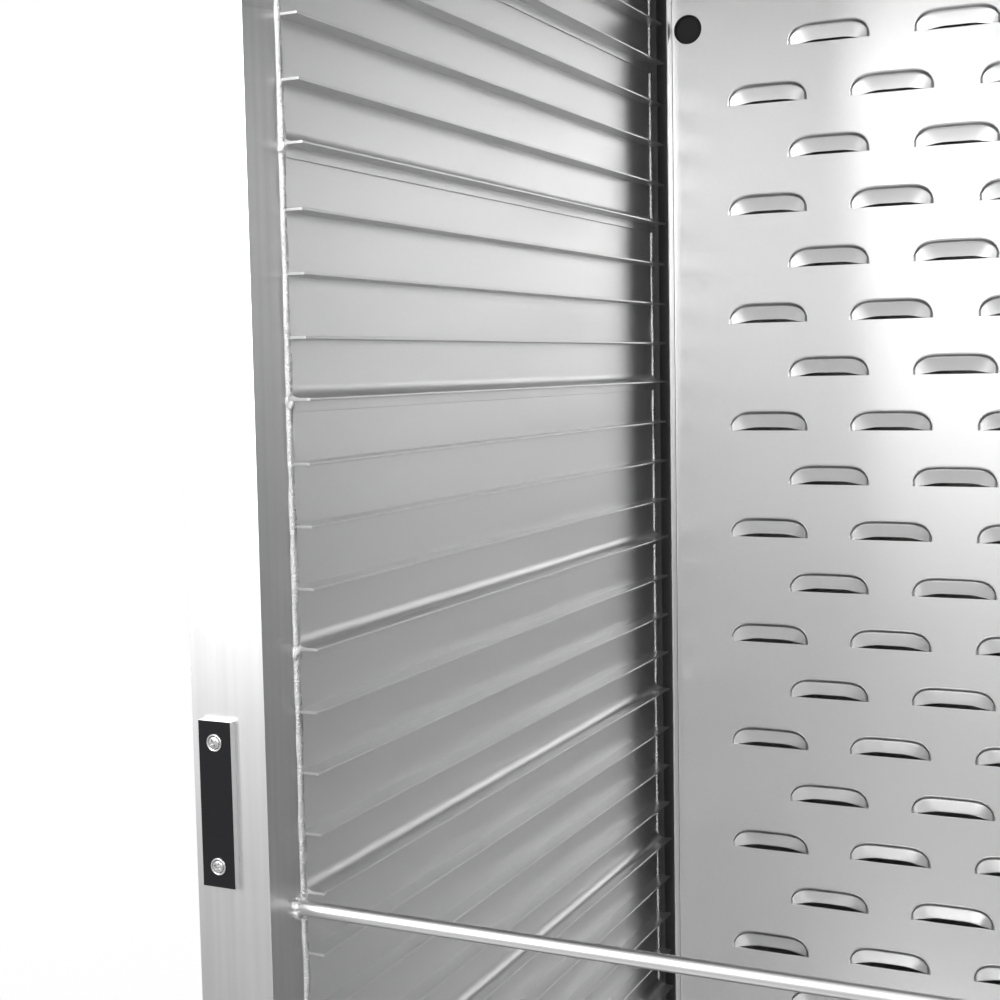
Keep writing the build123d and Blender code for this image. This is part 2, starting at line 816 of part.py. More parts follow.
# ------------------------------------------------------------------ base and casters
def make_base_frame():
    """Welded base of square tube with a mounting pad in each corner."""
    z = (mount_height, base_top)
    x, y = (-half_outside, half_outside), (front_y, rear_y)
    side = tube((x[0], x[0] + base_tube), y, z, tube_wall, "y")
    cross_x = (x[0] + base_tube, x[1] - base_tube)
    front = tube(cross_x, (y[0], y[0] + base_tube), z, tube_wall, "x")
    rear = tube(cross_x, (y[1] - base_tube, y[1]), z, tube_wall, "x")
    frame = side.fuse(mirrored(side), front, rear)
    for cx in (-caster_x, caster_x):
        for cy in (front_caster_y, rear_caster_y):
            frame += box((cx - pad_size / 2, cx + pad_size / 2), (cy - pad_size / 2, cy + pad_size / 2),
                         (mount_height, mount_height + pad_thickness))
    return frame


def make_caster_plate(x):
    """Top plate of a swivel caster with its race and kingpin."""
    y = front_caster_y
    low = mount_height - caster_plate_thickness
    half = caster_plate / 2
    plate = box((x - half, x + half), (y - half, y + half), (low, mount_height))
    race = rod(race_radius, (x, y, low - race_height), (x, y, low))
    nut_top = fork_top() - fork_plate_thickness - swivel_gap
    pin = rod(kingpin_radius, (x, y, nut_top), (x, y, low - race_height))
    nut = rod(kingpin_nut_radius, (x, y, nut_top - kingpin_nut_height), (x, y, nut_top))
    return plate + race + pin + nut


def fork_top():
    """Upper face of a swivel fork, just under the race."""
    return mount_height - caster_plate_thickness - race_height - swivel_gap


def make_fork(x, y, top, trail, is_swivel):
    """Fork with two legs down to the axle, either swivelling or with its own top plate."""
    inside = hub_width / 2 + leg_gap
    reach = inside + leg_thickness
    axle_y = y + trail
    plate_half = race_radius + race_edge
    eye_top = wheel_radius - fork_eye_drop
    outline = [(-plate_half, top), (max(plate_half, trail + fork_edge), top),
               (trail + fork_waist, wheel_radius + fork_waist_height), (trail + fork_eye, eye_top),
               (trail - fork_eye, eye_top), (-plate_half, top - fork_shoulder)]
    leg = side_plate(outline, (x + inside, x + reach), y)
    other = Pos(-inside - reach, 0, 0) * leg
    bridge = box((x - reach, x + reach), (y - plate_half, y + plate_half), (top - fork_plate_thickness, top))
    fork = leg.fuse(other, bridge)
    if is_swivel:
        fork -= rod(kingpin_radius + running_clearance, (x, y, top - fork_plate_thickness), (x, y, top))
        pin_y, pin_z = pedal_pin_place(y)
        fork -= rod(pedal_pin_radius + running_clearance, (x - reach, pin_y, pin_z), (x + reach, pin_y, pin_z))
    else:
        half = caster_plate / 2
        fork += box((x - half, x + half), (y - half, y + half), (top, mount_height))
    return fork - rod(axle_radius + running_clearance, (x - reach, axle_y, wheel_radius),
                      (x + reach, axle_y, wheel_radius))


def make_wheel(x, y):
    """Wheel with a rounded tread and a running bore."""
    half_tread, half_hub, half_web = wheel_width / 2, hub_width / 2, wheel_web / 2
    rim, well = wheel_radius - wheel_rim, hub_diameter / 2
    bore = axle_radius + running_clearance
    half = Polyline((bore, 0), (bore, half_hub), (well, half_hub), (well + wheel_fillet, half_web),
                    (rim - wheel_fillet, half_web), (rim, half_tread),
                    (wheel_radius - wheel_crown, half_tread), (wheel_radius, half_tread - wheel_crown),
                    (wheel_radius, 0), (bore, 0))
    turned = revolve(make_face(Plane.XY * half), Axis.Y)
    whole = turned + turned.mirror(Plane.XZ)
    return Pos(x, y, wheel_radius) * Rot(0, 0, 90) * whole


def make_axle(x, y):
    """Axle bolt with head and nut outside the fork legs."""
    reach = hub_width / 2 + leg_gap + leg_thickness
    bolt = rod(axle_radius, (x - reach, y, wheel_radius), (x + reach, y, wheel_radius))
    head = rod(bolt_head_radius, (x - reach - bolt_head_height, y, wheel_radius), (x - reach, y, wheel_radius))
    nut = rod(bolt_head_radius, (x + reach, y, wheel_radius), (x + reach + bolt_head_height, y, wheel_radius))
    return bolt + head + nut


def pedal_pin_place(y):
    """Pivot of the brake pedal in the fork legs: Y and Z."""
    return y + swivel_trail + pedal_pin_ahead, wheel_diameter + pedal_pin_rise


def make_brake_pedal(x):
    """Brake pedal between the fork legs: pivot, tread shoe and foot plate."""
    pin_y, pin_z = pedal_pin_place(front_caster_y)
    reach = hub_width / 2 + leg_gap + leg_thickness
    half = pedal_width / 2
    pin = rod(pedal_pin_radius, (x - reach, pin_y, pin_z), (x + reach, pin_y, pin_z))
    outline = [(-pedal_root, pedal_root / 2 - pedal_sheet), (-pedal_root, pedal_root / 2),
               (pedal_length, pedal_sheet - pedal_fall), (pedal_length, -pedal_fall),
               (pedal_knee, -pedal_fall * pedal_knee / pedal_length - pedal_sheet)]
    plate = side_plate(outline, (x - half, x + half), pin_y, pin_z)
    tread = rod(wheel_radius + pedal_pad_gap, (x - half, front_caster_y + swivel_trail, wheel_radius),
                (x + half, front_caster_y + swivel_trail, wheel_radius))
    return pin + plate - tread


# ------------------------------------------------------------------ assembly
def build_nodes():
    """Every node of the cabinet, with the door swung open as it stands at rest."""
    nodes = {
        "base_frame": make_base_frame(),
        "left_front_post": make_front_post(),
        "right_front_post": make_plain_post(),
        "rear_frame": make_rear_frame(),
        "header_rail": make_header(),
        "sill_rail": make_sill(),
        "left_side_panel": make_side_panel(),
        "right_side_panel": mirrored(make_side_panel()),
        "top_cover": make_top_cover(),
        "ceiling_liner": make_ceiling_liner(),
        "floor_liner": make_floor_liner(),
        "back_panel": make_back_panel(),
        "duct_panel": make_duct_panel(),
        "tie_bar": make_tie_bar(),
        "strike_plate": make_strike_plate(),
        "strike_plate_screws": make_strike_screws(),
        "post_hinge_leaves": group([make_post_hinge_leaf(z) for z in hinge_heights()]),
        "hinge_pins": group([make_hinge_pin(z) for z in hinge_heights()]),
        "module_housing": make_module_housing(),
        "control_panel": make_control_panel(),
        "heat_knob": make_knob(knob_places()[0]),
        "humidity_knob": make_knob(knob_places()[1]),
        "power_switch": make_switch(),
        "thermometer": make_thermometer(),
        "pilot_lamps": make_lamps(),
        "water_pan": make_water_pan(),
        "heating_element": make_heating_element(),
        "blower_wheel": make_blower_wheel(),
        "blower_motor": make_blower_motor(),
        "power_inlet": make_power_inlet(),
        "caster_plates": group([make_caster_plate(x) for x in (-caster_x, caster_x)]),
    }
    for number in range(1, plank_courses + 1):
        nodes[f"wall_planks_course_{number}"] = make_plank_course(number)
    rear_top = mount_height - caster_plate_thickness
    nodes["rear_forks"] = group([make_fork(x, rear_caster_y, rear_top, 0.0, False)
                                 for x in (-caster_x, caster_x)])
    nodes["rear_axles"] = group([make_axle(x, rear_caster_y) for x in (-caster_x, caster_x)])
    front_axle_y = front_caster_y + swivel_trail
    for name, x in (("left", -caster_x), ("right", caster_x)):
        nodes[f"front_{name}_fork"] = make_fork(x, front_caster_y, fork_top(), swivel_trail, True)
        nodes[f"front_{name}_wheel"] = make_wheel(x, front_axle_y)
        nodes[f"front_{name}_axle"] = make_axle(x, front_axle_y)
        nodes[f"rear_{name}_wheel"] = make_wheel(x, rear_caster_y)
        nodes[f"{name}_brake_pedal"] = make_brake_pedal(x)
    swing = Pos(hinge_x, hinge_y, 0) * Rot(0, 0, rest_opening) * Pos(-hinge_x, -hinge_y, 0)
    door = {
        "door_frame": make_door_frame(),
        "door_liner": make_door_liner(),
        "door_window": make_window(),
        "window_seal": make_window_seal(),
        "door_gasket": make_gasket(),
        "door_handle": make_handle(),
        "latch_magnet": make_latch_magnet(),
        "door_hinge_leaves": group([make_door_hinge_leaf(z) for z in hinge_heights()]),
    }
    nodes.update({name: group([swing * solid for solid in piece.solids()])
                  for name, piece in door.items()})
    return nodes


def overall_shift(nodes):
    """Shift that brings the middle of the overall box to X = 0 and Y = 0."""
    boxes = [piece.bounding_box() for piece in nodes.values()]
    low_x, high_x = min(b.min.X for b in boxes), max(b.max.X for b in boxes)
    low_y, high_y = min(b.min.Y for b in boxes), max(b.max.Y for b in boxes)
    return Pos(-(low_x + high_x) / 2, -(low_y + high_y) / 2, 0)


nodes = build_nodes()
shift = overall_shift(nodes)
for node_name, node_piece in nodes.items():
    placed = group([shift * solid for solid in node_piece.solids()])
    export_step(placed, f"parts/{node_name}.step")
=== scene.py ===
"""Looks of a mobile proofing cabinet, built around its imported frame.

Lengths are metres. Places come from the frame's boxes and joints; each class holds the sizes of
the detail that it adds. Every class has build(), which makes its pieces and dresses them.
"""

import json
import logging
import math
from dataclasses import dataclass
from enum import Enum
from typing import Callable, Iterable, Optional, Sequence

import bmesh
import bpy
from mathutils import Matrix, Vector, noise


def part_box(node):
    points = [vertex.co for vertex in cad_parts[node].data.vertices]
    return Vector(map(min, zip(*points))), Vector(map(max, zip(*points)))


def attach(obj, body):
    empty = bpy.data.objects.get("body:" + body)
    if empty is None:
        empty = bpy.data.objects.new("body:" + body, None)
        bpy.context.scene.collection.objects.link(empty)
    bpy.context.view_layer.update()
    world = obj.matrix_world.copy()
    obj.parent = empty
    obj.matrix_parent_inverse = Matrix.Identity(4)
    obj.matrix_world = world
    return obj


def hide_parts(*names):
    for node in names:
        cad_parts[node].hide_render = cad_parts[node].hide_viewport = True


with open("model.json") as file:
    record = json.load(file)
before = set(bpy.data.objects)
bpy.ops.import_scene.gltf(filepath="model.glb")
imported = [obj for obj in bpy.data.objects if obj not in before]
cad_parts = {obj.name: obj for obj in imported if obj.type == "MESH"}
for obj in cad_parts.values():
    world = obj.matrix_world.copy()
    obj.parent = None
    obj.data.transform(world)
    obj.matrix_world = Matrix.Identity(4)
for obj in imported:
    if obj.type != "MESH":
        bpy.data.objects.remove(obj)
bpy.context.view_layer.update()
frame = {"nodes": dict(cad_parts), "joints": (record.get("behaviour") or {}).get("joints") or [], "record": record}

log = logging.getLogger("proofing_cabinet")
MM = 0.001
Point = tuple[float, float, float]
MeshElement = bmesh.types.BMFace | bmesh.types.BMEdge | bmesh.types.BMVert


# ------------------------------------------------------------------ shader groups
class Effect(Enum):
    """Shader node groups shared by the finishes."""

    GRAIN = "brushed_grain"
    CLOUD = "soft_cloud"
    SPECKLE = "fine_speckle"


def new_group(effect: Effect, inputs: dict[str, float], outputs: Sequence[str]) -> bpy.types.NodeTree:
    """Start a shader node group.

    Args:
        effect: which shared effect the group makes.
        inputs: name and default of each number input, after Vector.
        outputs: names of the number outputs.

    Returns:
        The group's node tree, with its input and output nodes placed.
    """
    tree = bpy.data.node_groups.new(effect.value, "ShaderNodeTree")
    tree.interface.new_socket("Vector", in_out="INPUT", socket_type="NodeSocketVector")
    for name, default in inputs.items():
        socket = tree.interface.new_socket(name, in_out="INPUT", socket_type="NodeSocketFloat")
        socket.default_value = default
    for name in outputs:
        tree.interface.new_socket(name, in_out="OUTPUT", socket_type="NodeSocketFloat")
    tree.nodes.new("NodeGroupInput").name = "in"
    tree.nodes.new("NodeGroupOutput").name = "out"
    return tree


def build_grain() -> bpy.types.NodeTree:
    """Brushed grain: long scratches along the stretched axis, in two widths.

    Returns:
        A group whose Height is the grain and whose Tone varies slowly across it.
    """
    tree = new_group(Effect.GRAIN, {"Fine": 900.0, "Broad": 60.0}, ("Height", "Tone"))
    nodes, links = tree.nodes, tree.links
    for size, output, detail in (("Fine", "Height", 3.0), ("Broad", "Tone", 2.0)):
        texture = nodes.new("ShaderNodeTexNoise")
        texture.inputs["Detail"].default_value = detail
        links.new(nodes["in"].outputs["Vector"], texture.inputs["Vector"])
        links.new(nodes["in"].outputs[size], texture.inputs["Scale"])
        links.new(texture.outputs["Fac"], nodes["out"].inputs[output])
    return tree


def build_cloud() -> bpy.types.NodeTree:
    """Slow, soft unevenness of a rolled or handled surface.

    Returns:
        A group whose Mask runs from 0 to 1.
    """
    tree = new_group(Effect.CLOUD, {"Scale": 4.0, "Sharpness": 0.5}, ("Mask",))
    nodes, links = tree.nodes, tree.links
    texture = nodes.new("ShaderNodeTexNoise")
    texture.inputs["Detail"].default_value = 4.0
    ramp = nodes.new("ShaderNodeMapRange")
    ramp.inputs["From Min"].default_value = 0.3
    ramp.inputs["From Max"].default_value = 0.7
    links.new(nodes["in"].outputs["Vector"], texture.inputs["Vector"])
    links.new(nodes["in"].outputs["Scale"], texture.inputs["Scale"])
    links.new(nodes["in"].outputs["Sharpness"], texture.inputs["Roughness"])
    links.new(texture.outputs["Fac"], ramp.inputs["Value"])
    links.new(ramp.outputs["Result"], nodes["out"].inputs["Mask"])
    return tree


def build_speckle() -> bpy.types.NodeTree:
    """Fine speckle of cast, moulded or powdery surfaces.

    Returns:
        A group whose Height is the speckle.
    """
    tree = new_group(Effect.SPECKLE, {"Scale": 1500.0}, ("Height",))
    nodes, links = tree.nodes, tree.links
    texture = nodes.new("ShaderNodeTexVoronoi")
    links.new(nodes["in"].outputs["Vector"], texture.inputs["Vector"])
    links.new(nodes["in"].outputs["Scale"], texture.inputs["Scale"])
    links.new(texture.outputs["Distance"], nodes["out"].inputs["Height"])
    return tree


EFFECT_BUILDERS: dict[Effect, Callable[[], bpy.types.NodeTree]] = {
    Effect.GRAIN: build_grain,
    Effect.CLOUD: build_cloud,
    Effect.SPECKLE: build_speckle,
}


def effect_group(effect: Effect) -> bpy.types.NodeTree:
    """The shared group of an effect, built on first use."""
    return bpy.data.node_groups.get(effect.value) or EFFECT_BUILDERS[effect]()


# ------------------------------------------------------------------ finishes
class Lay(Enum):
    """Direction in which a metal's grain runs, as the stretch of its pattern."""

    ALONG_X = (0.02, 1.0, 1.0)
    ALONG_Y = (1.0, 0.02, 1.0)
    ALONG_Z = (1.0, 1.0, 0.02)
    EVEN = (1.0, 1.0, 1.0)


@dataclass(frozen=True)
class Finish:
    """One material: a colour, its unevenness, and its grain.

    Attributes:
        name: material name.
        slot: the record's material slot.
        color: base colour, linear.
        metallic: 1 for bare metal.
        roughness: middle roughness.
        rough_swing: how far the grain and cloud move the roughness.
        tone_swing: how far the cloud and broad grain move the colour's brightness.
        lay: direction of the grain.
        fine: scale of the fine grain.
        broad: scale of the broad grain.
        cloud: scale of the slow unevenness.
        bump: height of the fine grain in metres.
        speckle: scale of a speckle in the bump, or 0 for none.
        coat: clear coat weight.
        transmission: 1 for clear material.
        ior: index of refraction.
        alpha: opacity.
        glow: emission strength of a lit lens.
        anisotropy: stretch of highlights along the grain.
    """

    name: str
    slot: str
    color: Point
    metallic: float = 0.0
    roughness: float = 0.5
    rough_swing: float = 0.06
    tone_swing: float = 0.05
    lay: Lay = Lay.EVEN
    fine: float = 900.0
    broad: float = 60.0
    cloud: float = 5.0
    bump: float = 0.00002
    speckle: float = 0.0
    coat: float = 0.0
    transmission: float = 0.0
    ior: float = 1.45
    alpha: float = 1.0
    glow: float = 0.0
    anisotropy: float = 0.0

    def material(self) -> bpy.types.Material:
        """The finish's material, built on first use."""
        return bpy.data.materials.get(self.name) or self.build()

    def build(self) -> bpy.types.Material:
        """Build the node material.

        Returns:
            A material that reads Object coordinates.
        """
        material = bpy.data.materials.new(self.name)
        material.use_nodes = True
        material.diffuse_color = (*self.color, 1.0)
        nodes, links = material.node_tree.nodes, material.node_tree.links
        shader = nodes["Principled BSDF"]
        shader.inputs["Metallic"].default_value = self.metallic
        shader.inputs["IOR"].default_value = self.ior
        shader.inputs["Coat Weight"].default_value = self.coat
        shader.inputs["Transmission Weight"].default_value = self.transmission
        shader.inputs["Alpha"].default_value = self.alpha
        shader.inputs["Anisotropic"].default_value = self.anisotropy
        coords = nodes.new("ShaderNodeTexCoord")
        stretch = nodes.new("ShaderNodeMapping")
        stretch.inputs["Scale"].default_value = self.lay.value
        links.new(coords.outputs["Object"], stretch.inputs["Vector"])
        grain = self.place(nodes, Effect.GRAIN)
        grain.inputs["Fine"].default_value = self.fine
        grain.inputs["Broad"].default_value = self.broad
        links.new(stretch.outputs["Vector"], grain.inputs["Vector"])
        cloud = self.place(nodes, Effect.CLOUD)
        cloud.inputs["Scale"].default_value = self.cloud
        links.new(coords.outputs["Object"], cloud.inputs["Vector"])
        self.dress_color(nodes, links, shader, grain, cloud)
        self.dress_roughness(nodes, links, shader, grain, cloud)
        self.dress_bump(nodes, links, shader, coords, grain)
        if self.glow:
            shader.inputs["Emission Color"].default_value = (*self.color, 1.0)
            shader.inputs["Emission Strength"].default_value = self.glow
        return material

    @staticmethod
    def place(nodes: bpy.types.Nodes, effect: Effect) -> bpy.types.Node:
        """Add one shared effect to a material's nodes."""
        node = nodes.new("ShaderNodeGroup")
        node.node_tree = effect_group(effect)
        return node

    def dress_color(self, nodes: bpy.types.Nodes, links: bpy.types.NodeLinks, shader: bpy.types.Node,
                    grain: bpy.types.Node, cloud: bpy.types.Node) -> None:
        """Blend a darker and a lighter tone of the colour by grain and cloud."""
        blend = nodes.new("ShaderNodeMath")
        blend.operation = "MULTIPLY_ADD"
        blend.inputs[1].default_value = 0.5
        half = nodes.new("ShaderNodeMath")
        half.operation = "MULTIPLY"
        half.inputs[1].default_value = 0.5
        links.new(cloud.outputs["Mask"], half.inputs[0])
        links.new(grain.outputs["Tone"], blend.inputs[0])
        links.new(half.outputs[0], blend.inputs[2])
        mix = nodes.new("ShaderNodeMix")
        mix.data_type = "RGBA"
        dark, light = 1.0 - self.tone_swing, 1.0 + self.tone_swing
        mix.inputs["A"].default_value = (*(c * dark for c in self.color), 1.0)
        mix.inputs["B"].default_value = (*(min(c * light, 1.0) for c in self.color), 1.0)
        links.new(blend.outputs[0], mix.inputs["Factor"])
        links.new(mix.outputs["Result"], shader.inputs["Base Color"])

    def dress_roughness(self, nodes: bpy.types.Nodes, links: bpy.types.NodeLinks, shader: bpy.types.Node,
                        grain: bpy.types.Node, cloud: bpy.types.Node) -> None:
        """Vary the roughness about its middle with the cloud and the fine grain."""
        total = nodes.new("ShaderNodeMath")
        total.operation = "ADD"
        links.new(cloud.outputs["Mask"], total.inputs[0])
        links.new(grain.outputs["Height"], total.inputs[1])
        spread = nodes.new("ShaderNodeMapRange")
        spread.inputs["From Max"].default_value = 2.0
        spread.inputs["To Min"].default_value = max(self.roughness - self.rough_swing, 0.02)
        spread.inputs["To Max"].default_value = min(self.roughness + self.rough_swing, 1.0)
        links.new(total.outputs[0], spread.inputs["Value"])
        links.new(spread.outputs["Result"], shader.inputs["Roughness"])

    def dress_bump(self, nodes: bpy.types.Nodes, links: bpy.types.NodeLinks, shader: bpy.types.Node,
                   coords: bpy.types.Node, grain: bpy.types.Node) -> None:
        """Raise the fine grain, or the speckle where the finish has one."""
        bump = nodes.new("ShaderNodeBump")
        bump.inputs["Distance"].default_value = self.bump
        height = grain.outputs["Height"]
        if self.speckle:
            speckle = self.place(nodes, Effect.SPECKLE)
            speckle.inputs["Scale"].default_value = self.speckle
            links.new(coords.outputs["Object"], speckle.inputs["Vector"])
            height = speckle.outputs["Height"]
        links.new(height, bump.inputs["Height"])
        links.new(bump.outputs["Normal"], shader.inputs["Normal"])


POST = Finish("post_aluminium", "satin_aluminium", (0.58, 0.58, 0.58), 1.0, 0.38, 0.08, 0.24, Lay.ALONG_Z,
              fine=1400, broad=150, cloud=3, bump=0.000006)
RAIL = Finish("rail_aluminium", "satin_aluminium", (0.70, 0.70, 0.70), 1.0, 0.36, 0.05, 0.04, Lay.ALONG_X,
              fine=1400, broad=260, cloud=3, bump=0.000006)
SKIN = Finish("skin_aluminium", "satin_aluminium", (0.62, 0.62, 0.625), 1.0, 0.38, 0.06, 0.05, Lay.ALONG_Z,
              fine=1200, broad=180, cloud=2, bump=0.000008)
PLANK = Finish("plank_aluminium", "plank_aluminium", (0.92, 0.92, 0.92), 1.0, 0.085, 0.02, 0.03, Lay.ALONG_Y,
               fine=1100, broad=160, cloud=5, bump=0.000004)
LINER = Finish("liner_aluminium", "plank_aluminium", (0.84, 0.84, 0.84), 1.0, 0.32, 0.05, 0.04, Lay.ALONG_Y)
DUCT = Finish("duct_satin_steel", "duct_steel", (0.74, 0.74, 0.74), 1.0, 0.31, 0.04, 0.03, Lay.EVEN,
              fine=1600, broad=300, cloud=6, bump=0.000010)
CONTROL = Finish("control_steel", "duct_steel", (0.76, 0.76, 0.76), 1.0, 0.30, 0.04, 0.03, Lay.ALONG_X)
WELD = Finish("weld_aluminium", "satin_aluminium", (0.76, 0.76, 0.76), 1.0, 0.26, 0.12, 0.16, Lay.EVEN,
              fine=1300, broad=500, cloud=120, bump=0.0006)
# Black gloss: the painted dark reflection on the strike plate's polished steel face, and the own black of the
# brake pedals and black plates.
BLACK_AND_PAINTED_REFLECTION = Finish("black_and_painted_reflection", "black_plate", (0.008, 0.008, 0.009), 0.0, 0.20, 0.05, 0.2, ior=1.3)
# Darker copy of the skin: painted shade inside the duct, on the back sheet's inner faces.
DUCT_PAINTED_SHADE = Finish("duct_painted_shade", "satin_aluminium", (0.55, 0.55, 0.55), 1.0, 0.45)
STRIKE_EDGE = Finish("strike_steel", "black_plate", (0.90, 0.90, 0.90), 1.0, 0.30)
SCREW = Finish("screw_zinc", "zinc_screw", (0.62, 0.62, 0.62), 1.0, 0.25, 0.08, 0.06)
CHROME = Finish("polished_steel", "polished_steel", (0.80, 0.80, 0.81), 1.0, 0.10, 0.04, 0.02)
PANE = Finish("clear_pane", "clear_pane", (0.96, 0.98, 0.98), 0.0, 0.03, 0.01, 0.0, transmission=1.0, ior=1.5,
              bump=0.0)
SEAL = Finish("black_rubber", "black_rubber", (0.018, 0.018, 0.018), 0.0, 0.62, speckle=1800, bump=0.00003)
GASKET = Finish("grey_gasket", "grey_rubber", (0.10, 0.10, 0.105), 0.0, 0.55, speckle=1800, bump=0.00003)
MAGNET = Finish("magnet_block", "magnet_block", (0.03, 0.03, 0.03), 0.0, 0.5, speckle=1500, bump=0.00004)
KNOB = Finish("black_knob", "black_plastic", (0.015, 0.015, 0.016), 0.0, 0.34, speckle=2200, bump=0.00003)
MARK = Finish("white_mark", "black_plastic", (0.75, 0.75, 0.74), 0.0, 0.45)
DIAL_RIM = Finish("dial_rim", "dial_steel", (0.76, 0.76, 0.76), 1.0, 0.20)
DIAL_FACE = Finish("dial_face", "dial_steel", (0.86, 0.86, 0.84), 0.0, 0.5, tone_swing=0.02)
NEEDLE = Finish("dial_needle", "dial_steel", (0.35, 0.02, 0.02), 0.0, 0.4)
LENS = Finish("amber_lens", "amber_lens", (0.85, 0.32, 0.03), 0.0, 0.18, coat=0.5)
GALVANISED = Finish("galvanised", "galvanised_steel", (0.55, 0.56, 0.57), 1.0, 0.42, 0.10, 0.16, cloud=25)
ELEMENT = Finish("heated_steel", "element_steel", (0.20, 0.17, 0.15), 1.0, 0.45, 0.1, 0.2, cloud=30)
MOTOR = Finish("motor_black", "motor_paint", (0.02, 0.02, 0.022), 0.0, 0.4, speckle=1500, bump=0.00003)
INLET = Finish("inlet_black", "inlet_plastic", (0.02, 0.02, 0.02), 0.0, 0.45, speckle=1800, bump=0.00002)
TREAD = Finish("wheel_tread", "wheel_tread", (0.045, 0.046, 0.05), 0.0, 0.58, speckle=1300, bump=0.00005)
HUB = Finish("wheel_core", "wheel_tread", (0.30, 0.31, 0.32), 0.0, 0.5, speckle=1600, bump=0.00003)
ZINC = Finish("zinc_plate", "zinc_steel", (0.62, 0.63, 0.64), 1.0, 0.30, 0.08, 0.08, cloud=14)
FLOOR = Finish("studio_floor", "", (0.86, 0.86, 0.86), 0.0, 0.75, 0.02, 0.01)


# ------------------------------------------------------------------ bench tools
def clear_selection() -> None:
    """Leave object mode with nothing selected."""
    if bpy.context.object and bpy.context.object.mode != "OBJECT":
        bpy.ops.object.mode_set(mode="OBJECT")
    bpy.ops.object.select_all(action="DESELECT")


def activate(piece: bpy.types.Object) -> None:
    """Select one piece alone and make it active."""
    clear_selection()
    piece.select_set(True)
    bpy.context.view_layer.objects.active = piece


def take(name: str) -> bpy.types.Object:
    """Name the primitive just added and put its place in its mesh."""
    piece = bpy.context.object
    piece.name = name
    piece.data.name = name
    bpy.ops.object.transform_apply(location=True, rotation=True, scale=True)
    return piece


def block(name: str, low: Vector, high: Vector) -> bpy.types.Object:
    """Add a cube between two corners."""
    clear_selection()
    low, high = Vector(low), Vector(high)
    bpy.ops.mesh.primitive_cube_add(size=1.0, location=(low + high) / 2)
    bpy.context.object.scale = high - low
    return take(name)


def disc_bar(name: str, radius: float, start: Vector, end: Vector, sides: int = 32) -> bpy.types.Object:
    """Add a cylinder of a radius between two points."""
    clear_selection()
    start, end = Vector(start), Vector(end)
    along = end - start
    turn = along.to_track_quat("Z", "Y").to_euler()
    bpy.ops.mesh.primitive_cylinder_add(vertices=sides, radius=radius, depth=along.length,
                                        location=(start + end) / 2, rotation=turn)
    return take(name)


class Edit:
    """Edit mode on one piece, entered with nothing selected."""

    def __init__(self, piece: bpy.types.Object, kind: str = "FACE") -> None:
        """Keep the piece and the kind of element to select."""
        self.piece = piece
        self.kind = kind

    def __enter__(self) -> "Edit":
        """Enter edit mode."""
        activate(self.piece)
        bpy.ops.object.mode_set(mode="EDIT")
        bpy.ops.mesh.select_mode(type=self.kind)
        bpy.ops.mesh.select_all(action="DESELECT")
        return self

    def __exit__(self, *exc: object) -> None:
        """Go back to object mode."""
        bpy.ops.object.mode_set(mode="OBJECT")

    def pick(self, test: Callable[[MeshElement], bool]) -> int:
        """Select the faces, edges or vertices that pass a test.

        Args:
            test: true for each element to select.

        Returns:
            How many were selected.
        """
        mesh = bmesh.from_edit_mesh(self.piece.data)
        pool = {"FACE": mesh.faces, "EDGE": mesh.edges, "VERT": mesh.verts}[self.kind]
        bpy.ops.mesh.select_all(action="DESELECT")
        count = 0
        for item in pool:
            if test(item):
                item.select_set(True)
                count += 1
        mesh.select_flush_mode()
        bmesh.update_edit_mesh(self.piece.data)
        return count

    def pull(self, along: Vector) -> None:
        """Extrude the selected region along a vector."""
        bpy.ops.mesh.extrude_region_move(TRANSFORM_OT_translate={"value": Vector(along)})

    def true_up(self) -> None:
        """Merge doubles and turn all faces outwards."""
        bpy.ops.mesh.select_all(action="SELECT")
        bpy.ops.mesh.remove_doubles(threshold=0.00001)
        bpy.ops.mesh.normals_make_consistent(inside=False)


def trace(name: str, points: Sequence[Vector]) -> bpy.types.Object:
    """Draw an open line of vertices, point after point."""
    clear_selection()
    bpy.ops.mesh.primitive_plane_add(size=0.01, location=points[0])
    piece = take(name)
    with Edit(piece, "VERT"):
        bpy.ops.mesh.select_all(action="SELECT")
        bpy.ops.mesh.merge(type="CENTER")
        bpy.ops.mesh.select_all(action="SELECT")
        for before, after in zip(points, points[1:]):
            bpy.ops.mesh.extrude_region_move(TRANSFORM_OT_translate={"value": Vector(after) - Vector(before)})
    return piece


def cut_out(name: str, outline: Sequence[Vector], along: Vector) -> bpy.types.Object:
    """Fill a traced outline and extrude it to a solid."""
    piece = trace(name, outline)
    with Edit(piece, "EDGE") as edit:
        bpy.ops.mesh.select_all(action="SELECT")
        bpy.ops.mesh.edge_face_add()
        bpy.ops.mesh.select_all(action="SELECT")
        edit.pull(along)
        edit.true_up()
    return piece


def turn_up(name: str, outline: Sequence[Vector], axis: Vector, centre: Vector,
            steps: int = 48) -> bpy.types.Object:
    """Spin a traced outline a full turn, as on a lathe.

    Args:
        name: piece name.
        outline: points of the half profile, from the axis or a bore back to it.
        axis: direction of the axis.
        centre: a point on the axis.
        steps: facets in the full turn.

    Returns:
        The turned piece, closed where its profile is.
    """
    piece = trace(name, outline)
    with Edit(piece, "VERT") as edit:
        bpy.ops.mesh.select_all(action="SELECT")
        bpy.ops.mesh.spin(steps=steps, angle=math.tau, center=centre, axis=axis, use_auto_merge=True)
        edit.true_up()
    return piece


def lathe(name: str, profile: Sequence[tuple[float, float]], centre: Vector = Vector(),
          steps: int = 48) -> bpy.types.Object:
    """Turn a profile of radius and Y about an axis that runs front to back."""
    return turn_up(name, [centre + Vector((x, y, 0)) for x, y in profile], Vector((0, 1, 0)), centre, steps)


def arc(centre: tuple[float, float], radius: float, start: float, end: float,
        steps: int = 5) -> list[tuple[float, float]]:
    """Points of an arc in a plane, with angles in degrees."""
    angles = [math.radians(start + (end - start) * i / steps) for i in range(steps + 1)]
    return [(centre[0] + radius * math.cos(a), centre[1] + radius * math.sin(a)) for a in angles]


